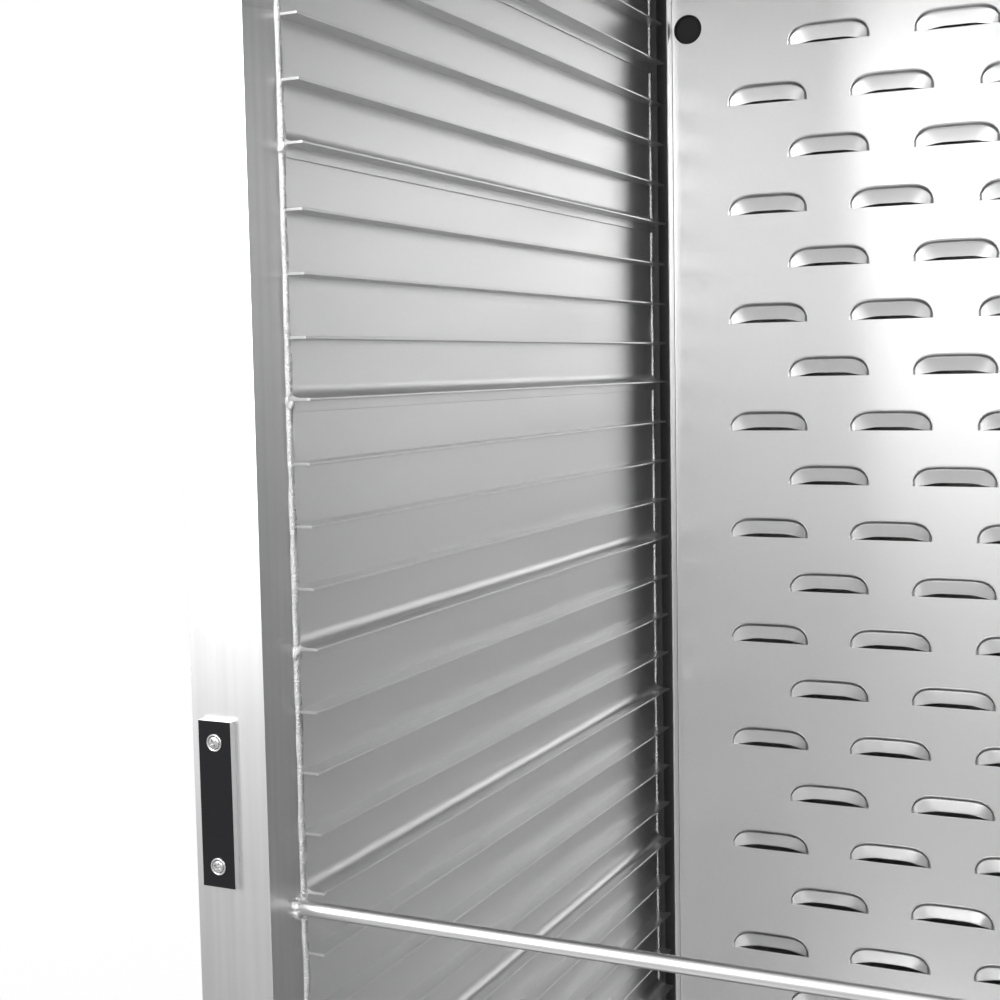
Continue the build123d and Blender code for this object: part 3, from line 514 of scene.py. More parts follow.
def apply_modifier(piece: bpy.types.Object, kind: str, **settings: object) -> None:
    """Add one modifier to a piece and apply it."""
    activate(piece)
    modifier = piece.modifiers.new(kind.lower(), kind)
    for name, value in settings.items():
        setattr(modifier, name, value)
    bpy.ops.object.modifier_apply(modifier=modifier.name)


def soften(piece: bpy.types.Object, width: float, segments: int = 3, angle: float = 40.0) -> None:
    """Round every edge that is sharper than an angle."""
    apply_modifier(piece, "BEVEL", width=width, segments=segments, limit_method="ANGLE",
                   angle_limit=math.radians(angle), use_clamp_overlap=True, miter_outer="MITER_ARC")


def smooth(piece: bpy.types.Object, angle: float = 38.0) -> None:
    """Shade smooth below an angle, with broad faces kept flat."""
    activate(piece)
    bpy.ops.object.shade_smooth_by_angle(angle=math.radians(angle), keep_sharp_edges=False)
    apply_modifier(piece, "WEIGHTED_NORMAL", weight=50, keep_sharp=True)


def join(name: str, parts: Iterable[bpy.types.Object]) -> bpy.types.Object:
    """Join pieces into the first one under a new name."""
    parts = list(parts)
    activate(parts[0])
    for part in parts:
        part.select_set(True)
    if len(parts) > 1:
        bpy.ops.object.join()
    parts[0].name = name
    parts[0].data.name = name
    return parts[0]


def copy_to(piece: bpy.types.Object, name: str, move: Matrix) -> bpy.types.Object:
    """Copy a piece with a mesh of its own, moved or turned by a matrix."""
    other = piece.copy()
    other.data = piece.data.copy()
    other.name = name
    other.data.name = name
    other.data.transform(move)
    if move.to_3x3().determinant() < 0:
        other.data.flip_normals()
    bpy.context.scene.collection.objects.link(other)
    return other


def scatter(name: str, model: bpy.types.Object, moves: Sequence[Matrix]) -> bpy.types.Object:
    """Replace a model by copies at several places, joined into one piece."""
    copies = [copy_to(model, f"{name}_{i}", move) for i, move in enumerate(moves)]
    bpy.data.objects.remove(model)
    return join(name, copies)


def carve(piece: bpy.types.Object, cutter: bpy.types.Object) -> None:
    """Cut one closed piece out of another and remove the cutter."""
    apply_modifier(piece, "BOOLEAN", object=cutter, operation="DIFFERENCE", solver="EXACT")
    bpy.data.objects.remove(cutter)


def dress(piece: bpy.types.Object, finish: Finish, body: str = "cabinet",
          nodes: Sequence[str] = ()) -> bpy.types.Object:
    """Give a piece its finish, its body and the nodes that it stands for.

    Args:
        piece: the finished piece, in place.
        finish: its material.
        body: the body that it moves with.
        nodes: CAD nodes that it replaces.

    Returns:
        The piece.
    """
    if not piece.data.materials:
        piece.data.materials.append(finish.material())
    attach(piece, body)
    if nodes:
        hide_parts(*nodes)
    log.info("%s rides on %s, %d faces", piece.name, body, len(piece.data.polygons))
    return piece


def refine(node: str, name: str, finish: Finish, body: str = "cabinet", edge: float = 1.0,
           segments: int = 3, angle: float = 40.0) -> bpy.types.Object:
    """Make a clean copy of a CAD node's mesh with rounded edges, in place of the node.

    Args:
        node: the CAD node.
        name: name of the new piece.
        finish: its material.
        body: the body that it moves with.
        edge: width of the rounded edges in millimetres.
        segments: facets across each rounded edge.
        angle: edges that turn by more than this are rounded.

    Returns:
        The finished piece.
    """
    piece = copy_to(frame["nodes"][node], name, Matrix.Identity(4))
    piece.parent = None
    piece.matrix_world = Matrix.Identity(4)
    for key in [k for k in piece.keys() if k.startswith("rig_")]:
        del piece[key]
    piece.data.materials.clear()
    with Edit(piece, "FACE"):
        bpy.ops.mesh.select_all(action="SELECT")
        bpy.ops.mesh.remove_doubles(threshold=0.00002)
        bpy.ops.mesh.dissolve_limited(angle_limit=math.radians(1.0))
    if edge:
        soften(piece, edge * MM, segments, angle)
    smooth(piece)
    return dress(piece, finish, body, [node])


# ------------------------------------------------------------------ places
def corner(node: str, side: str) -> Vector:
    """The low or high corner of a CAD node's box."""
    low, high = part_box(node)
    return low if side == "low" else high


@dataclass(frozen=True)
class Chamber:
    """Planes of the pan chamber, read from the frame.

    Attributes:
        left: X of the left wall's face.
        right: X of the right wall's face.
        joint: Y where the posts meet the planks.
        back: Y of the planks' rear ends.
        floor: Z of the chamber floor.
        ceiling: Z of the chamber ceiling.
    """

    left: float = corner("left_front_post", "high").x
    right: float = corner("right_front_post", "low").x
    joint: float = corner("left_front_post", "high").y
    back: float = corner("wall_planks_course_1", "high").y
    floor: float = corner("floor_liner", "high").z
    ceiling: float = corner("ceiling_liner", "low").z

    @property
    def middle(self) -> float:
        """X of the cabinet's middle plane."""
        return (self.left + self.right) / 2

    def mirror(self) -> Matrix:
        """Reflection in the cabinet's middle plane."""
        return Matrix.Translation((2 * self.middle, 0, 0)) @ Matrix.Scale(-1, 4, (1, 0, 0))

    def course(self, number: int) -> float:
        """Z of the bottom of a plank course, counted from 1 at the floor."""
        return self.floor + (self.ceiling - self.floor) * (number - 1) / COURSES


COURSES = 9
chamber = Chamber()


# ------------------------------------------------------------------ wall planks
@dataclass
class WallPlanks:
    """Extruded planks with pan ledges, stacked in courses on both walls."""

    levels: int = 4
    wall: float = 2.5 * MM
    ledge_reach: float = 13.5 * MM
    joint_reach: float = 15.0 * MM
    ledge_thick: float = 1.8 * MM
    cove: float = 7.8 * MM
    cove_skin: float = 1.3 * MM
    lip_drop: float = 6.9 * MM
    lip_thick: float = 1.6 * MM
    joint_gap: float = 0.1 * MM
    tip_round: float = 0.55 * MM
    edge: float = 0.35 * MM

    def tip(self, reach: float, low: float) -> list[tuple[float, float]]:
        """Rounded end of a ledge, from its lower face to its upper one."""
        high = low + self.ledge_thick
        r = self.tip_round
        return [*arc((reach - r, low + r), r, -90, 0, 3), *arc((reach - r, high - r), r, 0, 90, 3)]

    def profile(self, height: float, has_lip: bool) -> list[tuple[float, float]]:
        """Section of one plank: distance from the wall's face, and height over the joint."""
        low = self.joint_gap if has_lip else 0.0
        points = [(-self.wall, low)]
        if has_lip:
            points += [(self.joint_gap, low), (self.joint_gap, -self.lip_drop),
                       (self.lip_thick, -self.lip_drop), (self.lip_thick + self.joint_gap, low)]
        points += self.tip(self.joint_reach, low)
        rise = low + self.ledge_thick
        points += arc((self.cove, rise + self.cove), self.cove, 270, 180, 8)
        for level in range(1, self.levels):
            z = height * level / self.levels - self.ledge_thick / 2
            points += [(0.0, z), *self.tip(self.ledge_reach, z), (0.0, z + self.ledge_thick)]
        points += [(0.0, height), (-self.wall, height)]
        return points

    def hollow(self) -> list[tuple[float, float]]:
        """Section of the void behind the cove."""
        rise = self.joint_gap + self.ledge_thick
        outer = self.cove + self.cove_skin
        lean = math.degrees(math.acos(self.cove / outer))
        return [(0.0, rise), *arc((self.cove, rise + self.cove), outer, 270 - lean, 180 + lean, 5)]

    def course(self, name: str, has_lip: bool) -> bpy.types.Object:
        """Model the left plank of one course with its joint at Z = 0."""
        run = Vector((0, chamber.back - chamber.joint, 0))

        def stand(points: list[tuple[float, float]], y: float) -> list[Vector]:
            """Put section points on the left wall."""
            return [Vector((chamber.left + x, y, z)) for x, z in points]

        height = chamber.course(2) - chamber.course(1)
        plank = cut_out(name, stand(self.profile(height, has_lip), chamber.joint), run)
        core = cut_out("core", stand(self.hollow(), chamber.joint - MM), run * 1.1)
        carve(plank, core)
        soften(plank, self.edge, 2, 60)
        return plank

    def build(self) -> None:
        """Model a plank once with a lip and once without, and copy it up both walls."""
        for number in range(1, COURSES + 1):
            name = f"plank_course_{number}"
            if number <= 2:
                model = self.course(name, number > 1)
            lift = Matrix.Translation((0, 0, chamber.course(number)))
            left = copy_to(model, f"{name}_left", lift)
            right = copy_to(model, f"{name}_right", chamber.mirror() @ lift)
            if number == 1 or number == COURSES:
                bpy.data.objects.remove(model)
            piece = join(name, [left, right])
            smooth(piece, 50)
            dress(piece, PLANK, nodes=[f"wall_planks_course_{number}"])


# ------------------------------------------------------------------ welds
@dataclass
class Welds:
    """Rippled beads between posts and planks, knots at the plank joints, and the bar's welds."""

    front_radius: float = 2.9 * MM
    rear_radius: float = 2.0 * MM
    step: float = 0.9 * MM
    ripple: float = 2.4 * MM
    roughness: float = 0.22
    wander: float = 0.45 * MM
    knot_radius: float = 4.9 * MM
    bar_ring: float = 5.4 * MM
    bar_lump: float = 3.5 * MM
    bar_lumps: int = 7
    sides: int = 12

    def bead(self, name: str, start: Vector, end: Vector, radius: float, seed: float) -> bpy.types.Object:
        """Model a bead as a bar cut into short rings, which swell with each ripple.

        Args:
            name: piece name.
            start: lower or left end of the bead's middle line.
            end: upper or right end.
            radius: radius of the bead.
            seed: place of this bead in the noise.

        Returns:
            The bead.
        """
        start, end = Vector(start), Vector(end)
        piece = disc_bar(name, radius, start, end, self.sides)
        along = (end - start).normalized()
        length = (end - start).length
        with Edit(piece, "EDGE") as edit:
            edit.pick(lambda e: abs((e.verts[0].co - e.verts[1].co).dot(along)) > length / 2)
            bpy.ops.mesh.subdivide(number_cuts=max(2, int(length / self.step)))
        for vertex in piece.data.vertices:
            self.swell(vertex, start, along, seed)
        activate(piece)
        bpy.ops.object.shade_smooth()
        return piece

    def swell(self, vertex: bpy.types.MeshVertex, start: Vector, along: Vector, seed: float) -> None:
        """Move one vertex of a bead by its ripple, its roughness and its wander."""
        place = (vertex.co - start).dot(along)
        middle = start + along * place
        out = vertex.co - middle
        phase = (place / self.ripple + 0.4 * noise.noise(Vector((seed, place * 60, 0)))) % 1.0
        ripple = 1.0 + 0.14 * (phase ** 0.5 - 0.5)
        rough = 1.0 + self.roughness * 2 * noise.noise(vertex.co / (1.7 * MM) + Vector((seed, 0, 0)))
        drift = Vector([noise.noise(Vector((seed, place * 40, row))) for row in (1, 5, 9)])
        drift -= along * drift.dot(along)
        vertex.co = middle + out * ripple * rough + drift * self.wander

    def knot(self, name: str, centre: Vector, radius: float, seed: float,
             stretch: Vector = Vector((1, 1, 1))) -> bpy.types.Object:
        """Model a lump of weld metal as an uneven ball."""
        clear_selection()
        bpy.ops.mesh.primitive_ico_sphere_add(subdivisions=3, radius=radius, location=centre)
        piece = take(name)
        centre = Vector(centre)
        for vertex in piece.data.vertices:
            out = vertex.co - centre
            lump = 1.0 + 0.30 * noise.noise(out / (2.6 * MM) + Vector((seed, seed, 0)))
            lump += 0.10 * noise.noise(out / (0.9 * MM) + Vector((seed, 0, seed)))
            vertex.co = centre + Vector(a * b for a, b in zip(out * lump, stretch))
        activate(piece)
        bpy.ops.object.shade_smooth()
        return piece

    def corner_line(self, name: str, y: float, radius: float, inward: Vector, seed: float) -> None:
        """Lay a bead up the corner of both walls, with a knot at every joint."""
        parts = []
        for side, x in (("left", chamber.left), ("right", chamber.right)):
            sign = 1 if side == "left" else -1
            place = Vector((x - sign * 0.2 * radius + sign * inward.x, y + inward.y, 0))
            parts.append(self.bead(f"{name}_{side}", place + Vector((0, 0, chamber.floor)),
                                   place + Vector((0, 0, chamber.ceiling)), radius, seed + sign))
            for number in range(2, COURSES + 1):
                z = chamber.course(number) - 1.5 * MM + MM * noise.noise(Vector((seed, number, sign)))
                size = self.knot_radius * radius / self.front_radius
                size *= 1.0 + 0.16 * noise.noise(Vector((number * 1.7, seed, sign)))
                parts.append(self.knot(f"{name}_{side}_{number}", place + Vector((0, 0, z)), size,
                                       seed + number, Vector((0.8, 0.8, 1.15))))
        dress(join(name, parts), WELD)

    def bar_welds(self) -> None:
        """Lump weld metal round both ends of the tie bar."""
        low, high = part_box("tie_bar")
        centre = (low + high) / 2
        ends = []
        for number, x in enumerate((low.x, high.x)):
            sign = 1 - 2 * number
            for lump in range(self.bar_lumps):
                turn = math.tau * lump / self.bar_lumps
                out = Vector((0.0, math.cos(turn), math.sin(turn))) * self.bar_ring
                out.x = sign * 0.9 * MM
                ends.append(self.knot(f"tie_{number}_{lump}", Vector((x, centre.y, centre.z)) + out,
                                      self.bar_lump * (1 + 0.28 * math.sin(lump * 2.3)), lump * 4.7 + number))
        dress(join("tie_bar_welds", ends), WELD)

    def build(self) -> None:
        """Lay all beads."""
        proud = Vector((0, -0.4 * MM, 0))
        self.corner_line("front_corner_welds", chamber.joint, self.front_radius, proud, 3.0)
        self.corner_line("rear_corner_welds", chamber.back, self.rear_radius, Vector(), 11.0)
        self.bar_welds()


# ------------------------------------------------------------------ duct panel
@dataclass
class DuctPanel:
    """Louvred sheet in front of the air duct."""

    sheet: float = 1.2 * MM
    bend: float = 2.2 * MM
    louver_length: float = 76.2 * MM
    louver_height: float = 19.0 * MM
    louver_depth: float = 6.6 * MM
    louver_step: float = 0.9 * MM
    shoulder: float = 3.4 * MM
    slit: float = 3.2 * MM
    slit_end: float = 0.92
    louver_pitch: float = 101.6 * MM
    column_step: float = 57.15 * MM
    columns: int = 5
    first: float = 55.2 * MM
    clear: float = 30.0 * MM
    probe_radius: float = 13.6 * MM
    probe_edge: float = 16.6 * MM
    probe_drop: float = 124.0 * MM
    flange: float = 12.7 * MM
    flat_part: float = 0.42
    blend: float = 4.5
    corner_power: float = 5.0
    outline_steps: int = 28
    hood_columns: int = 30
    hood_rows: int = 12

    def __post_init__(self) -> None:
        """Read the sheet's edges from the frame."""
        self.low, self.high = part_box("duct_panel")
        self.face = self.low.y + self.flange

    def places(self) -> list[Vector]:
        """Middle of every louver's lower edge."""
        found = []
        middle = (self.low.x + self.high.x) / 2
        for column in range(self.columns):
            x = middle + (column - (self.columns - 1) / 2) * self.column_step
            z = chamber.floor + self.first - (self.louver_pitch / 2 if column % 2 else 0.0)
            while z + self.louver_height < chamber.ceiling - self.clear:
                if z > chamber.floor + self.clear:
                    found.append(Vector((x, self.face, z)))
                z += self.louver_pitch
        return found

    def crown(self, u: float) -> float:
        """Height of the louver's outline over its lower edge, at u from -1 to 1 across it."""
        return self.louver_height * max(0.0, 1 - abs(u) ** self.corner_power) ** 0.5

    def outline(self) -> list[Vector]:
        """D-shaped outline of a louver, from its lower right corner over the top."""
        us = [math.cos(math.pi * i / self.outline_steps) for i in range(self.outline_steps + 1)]
        us = [math.copysign(abs(u) ** 0.6, u) for u in us]
        return [Vector((u * self.louver_length / 2, 0, self.crown(u))) for u in us]

    def depth(self, x: float, z: float, edge: float) -> float:
        """How far the hood is pressed in, at a place inside the outline.

        Args:
            x: distance from the louver's middle.
            z: height over its lower edge.
            edge: distance to the outline.

        Returns:
            Depth behind the panel's face.
        """
        u = min(1.0, abs(2 * x / self.louver_length))
        side = (1 - u) / self.flat_part
        top = 1 - z / self.louver_height
        blend = self.blend
        slope = -math.log(math.exp(-blend * side) + math.exp(-blend * (0.25 + 0.75 * top))
                          + math.exp(-blend)) / blend
        pressed = self.louver_step + (self.louver_depth - self.louver_step) * max(0.0, slope)
        return self.rounded(edge / self.shoulder) * pressed

    @staticmethod
    def rounded(share: float) -> float:
        """Ease a share from 0 to 1 in and out."""
        share = min(1.0, max(0.0, share))
        return share * share * (3 - 2 * share)

    def hood(self) -> bpy.types.Object:
        """Press one hood: a grid bent to the outline and into the duct."""
        clear_selection()
        bpy.ops.mesh.primitive_grid_add(x_subdivisions=self.hood_columns, y_subdivisions=self.hood_rows,
                                        size=2.0)
        piece = take("hood")
        for vertex in piece.data.vertices:
            u = math.copysign(abs(math.sin(vertex.co.x * math.pi / 2)) ** 0.75, vertex.co.x)
            share = 1 - ((1 - vertex.co.y) / 2) ** 1.6
            top = self.crown(u)
            x = u * self.louver_length / 2
            rise = min(self.slit * self.rounded((self.slit_end - abs(u)) / (self.slit_end - 0.3)), top)
            z = rise + (top - rise) * share
            side = (1 - abs(u)) * self.louver_length / 2
            edge = min(top - z, side * 1.4) if top > 0 else 0.0
            vertex.co = Vector((x, self.depth(x, z, edge), z))
        with Edit(piece) as edit:
            edit.true_up()
        apply_modifier(piece, "SOLIDIFY", thickness=self.sheet * 0.8, offset=-1.0, use_even_offset=False)
        activate(piece)
        bpy.ops.object.shade_smooth_by_angle(angle=math.radians(50))
        return piece

    def probe_centre(self) -> Vector:
        """Middle of the probe hole, on the panel's face."""
        return Vector((self.low.x + self.probe_edge, self.face, chamber.ceiling - self.probe_drop))

    def sheet_body(self) -> bpy.types.Object:
        """Fold the sheet with its two side flanges, and cut the louver windows and the probe hole."""
        r, t = self.bend, self.sheet
        x0, x1, y0, y1 = self.low.x, self.high.x, self.low.y, self.face + t
        left_bend, right_bend, s = (x0 + r, y1 - r), (x1 - r, y1 - r), r - t
        outer = [(x0, y0), *arc(left_bend, r, 180, 90, 5), *arc(right_bend, r, 90, 0, 5), (x1, y0)]
        inner = [(x1 - t, y0), *arc(right_bend, s, 0, 90, 5), *arc(left_bend, s, 90, 180, 5), (x0 + t, y0)]
        plan = [Vector((x, y, chamber.floor)) for x, y in outer + inner]
        body = cut_out("duct_sheet", plan, Vector((0, 0, chamber.ceiling - chamber.floor)))
        through = Vector((0, 5 * MM, 0))
        cutter = cut_out("window", [p - through for p in self.outline()], 2 * through)
        windows = scatter("windows", cutter, [Matrix.Translation(p) for p in self.places()])
        carve(body, windows)
        hole = self.probe_centre()
        carve(body, disc_bar("probe", self.probe_radius, hole - through, hole + through, 48))
        return body

    def probe_cup(self) -> None:
        """Close the probe hole with a black rubber cup behind the sheet."""
        centre = self.probe_centre()
        r, skin, lip = self.probe_radius, 1.2 * MM, 0.3 * MM
        deep = self.sheet + 4.5 * MM
        section = [(0.0, deep), (r, deep), (r, lip), *arc((r - skin / 2, lip), skin / 2, 0, -180, 4),
                   (r - skin, deep - skin), (0.0, deep - skin)]
        cup = lathe("probe_cup", section, centre)
        smooth(cup)
        dress(cup, SEAL)

    def build(self) -> None:
        """Make the panel with its hoods."""
        body = self.sheet_body()
        soften(body, 0.3 * MM, 2, 60)
        smooth(body, 40)
        hoods = scatter("hoods", self.hood(), [Matrix.Translation(p) for p in self.places()])
        piece = join("louvred_duct_panel", [body, hoods])
        dress(piece, DUCT, nodes=["duct_panel"])
        self.probe_cup()


# ------------------------------------------------------------------ strike plate
@dataclass
class StrikePlate:
    """Magnetic strike on the left post, with its two cross-head screws."""

    plate_edge: float = 0.5
    face_depth: float = 0.4 * MM
    head_radius: float = 3.8 * MM
    head_height: float = 1.5 * MM
    cup_radius: float = 5.4 * MM
    cross_length: float = 5.2 * MM
    cross_width: float = 1.3 * MM
    cross_depth: float = 1.5 * MM

    def head(self) -> bpy.types.Object:
        """Turn a domed head with a cup ring and sink the cross recess."""
        r, h = self.head_radius, self.head_height
        dome = [(0.0, 0.3 * MM), (r, 0.3 * MM), (r, -h * 0.35),
                *arc((r - 0.9 * MM, -h * 0.35), 0.9 * MM, 0, -60, 3), (r * 0.45, -h), (0.0, -h)]
        head = lathe("screw_head", dome, steps=32)
        for size in ((self.cross_length, self.cross_width), (self.cross_width, self.cross_length)):
            low = Vector((-size[0] / 2, -h - 0.2 * MM, -size[1] / 2))
            high = Vector((size[0] / 2, -h + self.cross_depth, size[1] / 2))
            carve(head, block("cross", low, high))
        c = self.cup_radius
        cup = [(r, 0.1 * MM), (r + 0.2 * MM, -0.25 * MM), (c - 1.2 * MM, -0.9 * MM),
               *arc((c - 0.7 * MM, -0.4 * MM), 0.7 * MM, -90, 0, 4), (c, 0.1 * MM), (r, 0.1 * MM)]
        ring = lathe("cup", cup, steps=40)
        piece = join("screw", [head, ring])
        smooth(piece, 35)
        return piece

    def build(self) -> None:
        """Paint the plate's face black as a painted dark reflection of its polished steel, leave its edges bright
        steel, and add the screws.
        """
        plate = refine("strike_plate", "strike_plate_painted_reflection", BLACK_AND_PAINTED_REFLECTION, edge=self.plate_edge)
        plate.data.materials.append(STRIKE_EDGE.material())
        face_y = corner("strike_plate", "low").y
        # Faces at the front take the painted dark reflection; the edges stay bare steel.
        for polygon in plate.data.polygons:
            polygon.material_index = 0 if polygon.center.y < face_y + self.face_depth else 1
        low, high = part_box("strike_plate_screws")
        inset = (high.x - low.x) / 2
        turns = (Matrix.Rotation(0.5, 4, "Y"), Matrix.Rotation(1.1, 4, "Y"))
        places = [Vector(((low.x + high.x) / 2, face_y, z)) for z in (low.z + inset, high.z - inset)]
        screws = scatter("strike_screws", self.head(),
                         [Matrix.Translation(p) @ turn for p, turn in zip(places, turns)])
        dress(screws, SCREW, nodes=["strike_plate_screws"])


# ------------------------------------------------------------------ frame and skins
@dataclass
class Carcass:
    """Posts, rails, skins and liners of the welded cabinet."""

    tube_edge: float = 2.2
    skin_edge: float = 0.5

    def build(self) -> None:
        """Round the edges of every frame member and sheet."""
        for side in ("left", "right"):
            refine(f"{side}_front_post", f"{side}_post", POST, edge=self.tube_edge)
            refine(f"{side}_side_panel", f"{side}_skin", SKIN, edge=self.skin_edge)
        refine("rear_frame", "rear_posts_and_rails", POST, edge=self.tube_edge)
        refine("header_rail", "header", RAIL, edge=1.0)
        refine("sill_rail", "sill", RAIL, edge=1.0)
        refine("top_cover", "roof_sheet", RAIL, edge=0.6)
        refine("ceiling_liner", "ceiling_sheet", LINER, edge=0.3)
        refine("floor_liner", "floor_sheet", DUCT, edge=0.3)
        refine("tie_bar", "round_tie_bar", RAIL, edge=0.3)


# ------------------------------------------------------------------ shared detail
def joint(name: str) -> dict:
    """One joint of the record."""
    return next(j for j in frame["joints"] if j["name"] == name)


@dataclass
class CrossScrew:
    """Pan-head screw with a cross recess, standing on a surface.

    Attributes:
        radius: radius of the head.
        height: height of the head.
        cup: radius of a cup ring under the head, or 0.
    """

    radius: float
    height: float
    cup: float = 0.0

    def model(self) -> bpy.types.Object:
        """Model one head that points along -Y from the origin."""
        r, h = self.radius, self.height
        round_over = min(0.45 * h, 0.3 * r)
        dome = [(0.0, 0.25 * MM), (r, 0.25 * MM), (r, round_over - h),
                *arc((r - round_over, round_over - h), round_over, 0, -70, 3), (0.4 * r, -h), (0.0, -h)]
        head = lathe("screw_head", dome, steps=28)
        for across, up in ((0.58 * r, 0.11 * r), (0.11 * r, 0.58 * r)):
            carve(head, block("cross", Vector((-across, -h * 1.2, -up)), Vector((across, -h * 0.25, up))))
        parts = [head]
        if self.cup:
            c = self.cup
            rim = 0.12 * c
            cup = [(r, 0.1 * MM), (r + 0.2 * MM, -0.25 * MM), (c - 1.6 * rim, -rim),
                   *arc((c - rim, -0.4 * rim), rim * 0.7, -90, 0, 4), (c, 0.1 * MM), (r, 0.1 * MM)]
            parts.append(lathe("cup", cup, steps=40))
        piece = join("screw", parts)
        smooth(piece, 35)
        return piece

    def drive(self, name: str, places: Sequence[Vector], facing: Vector) -> bpy.types.Object:
        """Set screws at several places.

        Args:
            name: name of the joined piece.
            places: points on the surface.
            facing: direction that the heads face.

        Returns:
            The screws as one piece.
        """
        aim = Vector(facing).to_track_quat("-Y", "Z").to_matrix().to_4x4()
        moves = [Matrix.Translation(p) @ aim @ Matrix.Rotation(0.5 + 1.9 * i, 4, "Y")
                 for i, p in enumerate(places)]
        return scatter(name, self.model(), moves)


def dome_rivets(name: str, places: Sequence[Vector], facing: Vector, radius: float,
                height: float) -> bpy.types.Object:
    """Set low domed rivets on a sheet, a few dozen faces each."""
    profile = [(0.0, 0.1 * MM), (radius, 0.1 * MM), (radius, 0.0), (0.72 * radius, -0.7 * height),
               (0.3 * radius, -height), (0.0, -height)]
    rivet = lathe("rivet", profile, steps=12)
    activate(rivet)
    bpy.ops.object.shade_smooth_by_angle(angle=math.radians(50))
    aim = Vector(facing).to_track_quat("-Y", "Z").to_matrix().to_4x4()
    return scatter(name, rivet, [Matrix.Translation(p) @ aim for p in places])


def frame_ring(name: str, section: Sequence[tuple[float, float]], low: Vector,
               high: Vector) -> bpy.types.Object:
    """Run a section round an upright rectangle, with mitred corners.

    Args:
        name: piece name.
        section: closed section, as distance outwards from the rectangle and Y.
        low: lower left corner of the rectangle, whose Y is the section's zero.
        high: upper right corner.

    Returns:
        The ring, closed on itself.
    """
    centre = (Vector(low) + Vector(high)) / 2
    half = (high.x - low.x) / 2
    stretch = (high.z - low.z) / 2 - half
    points = [Vector((centre.x + half + u, low.y + v, centre.z + half + u)) for u, v in section]
    piece = trace(name, points)
    with Edit(piece, "EDGE") as edit:
        bpy.ops.mesh.select_all(action="SELECT")
        bpy.ops.mesh.edge_face_add()
        bpy.ops.mesh.delete(type="ONLY_FACE")
        bpy.ops.mesh.select_all(action="SELECT")
        bpy.ops.mesh.spin(steps=4, angle=math.tau, center=centre, axis=(0, 1, 0), use_auto_merge=True)
        edit.true_up()
    for vertex in piece.data.vertices:
        vertex.co.z += math.copysign(stretch, vertex.co.z - centre.z)
    return piece


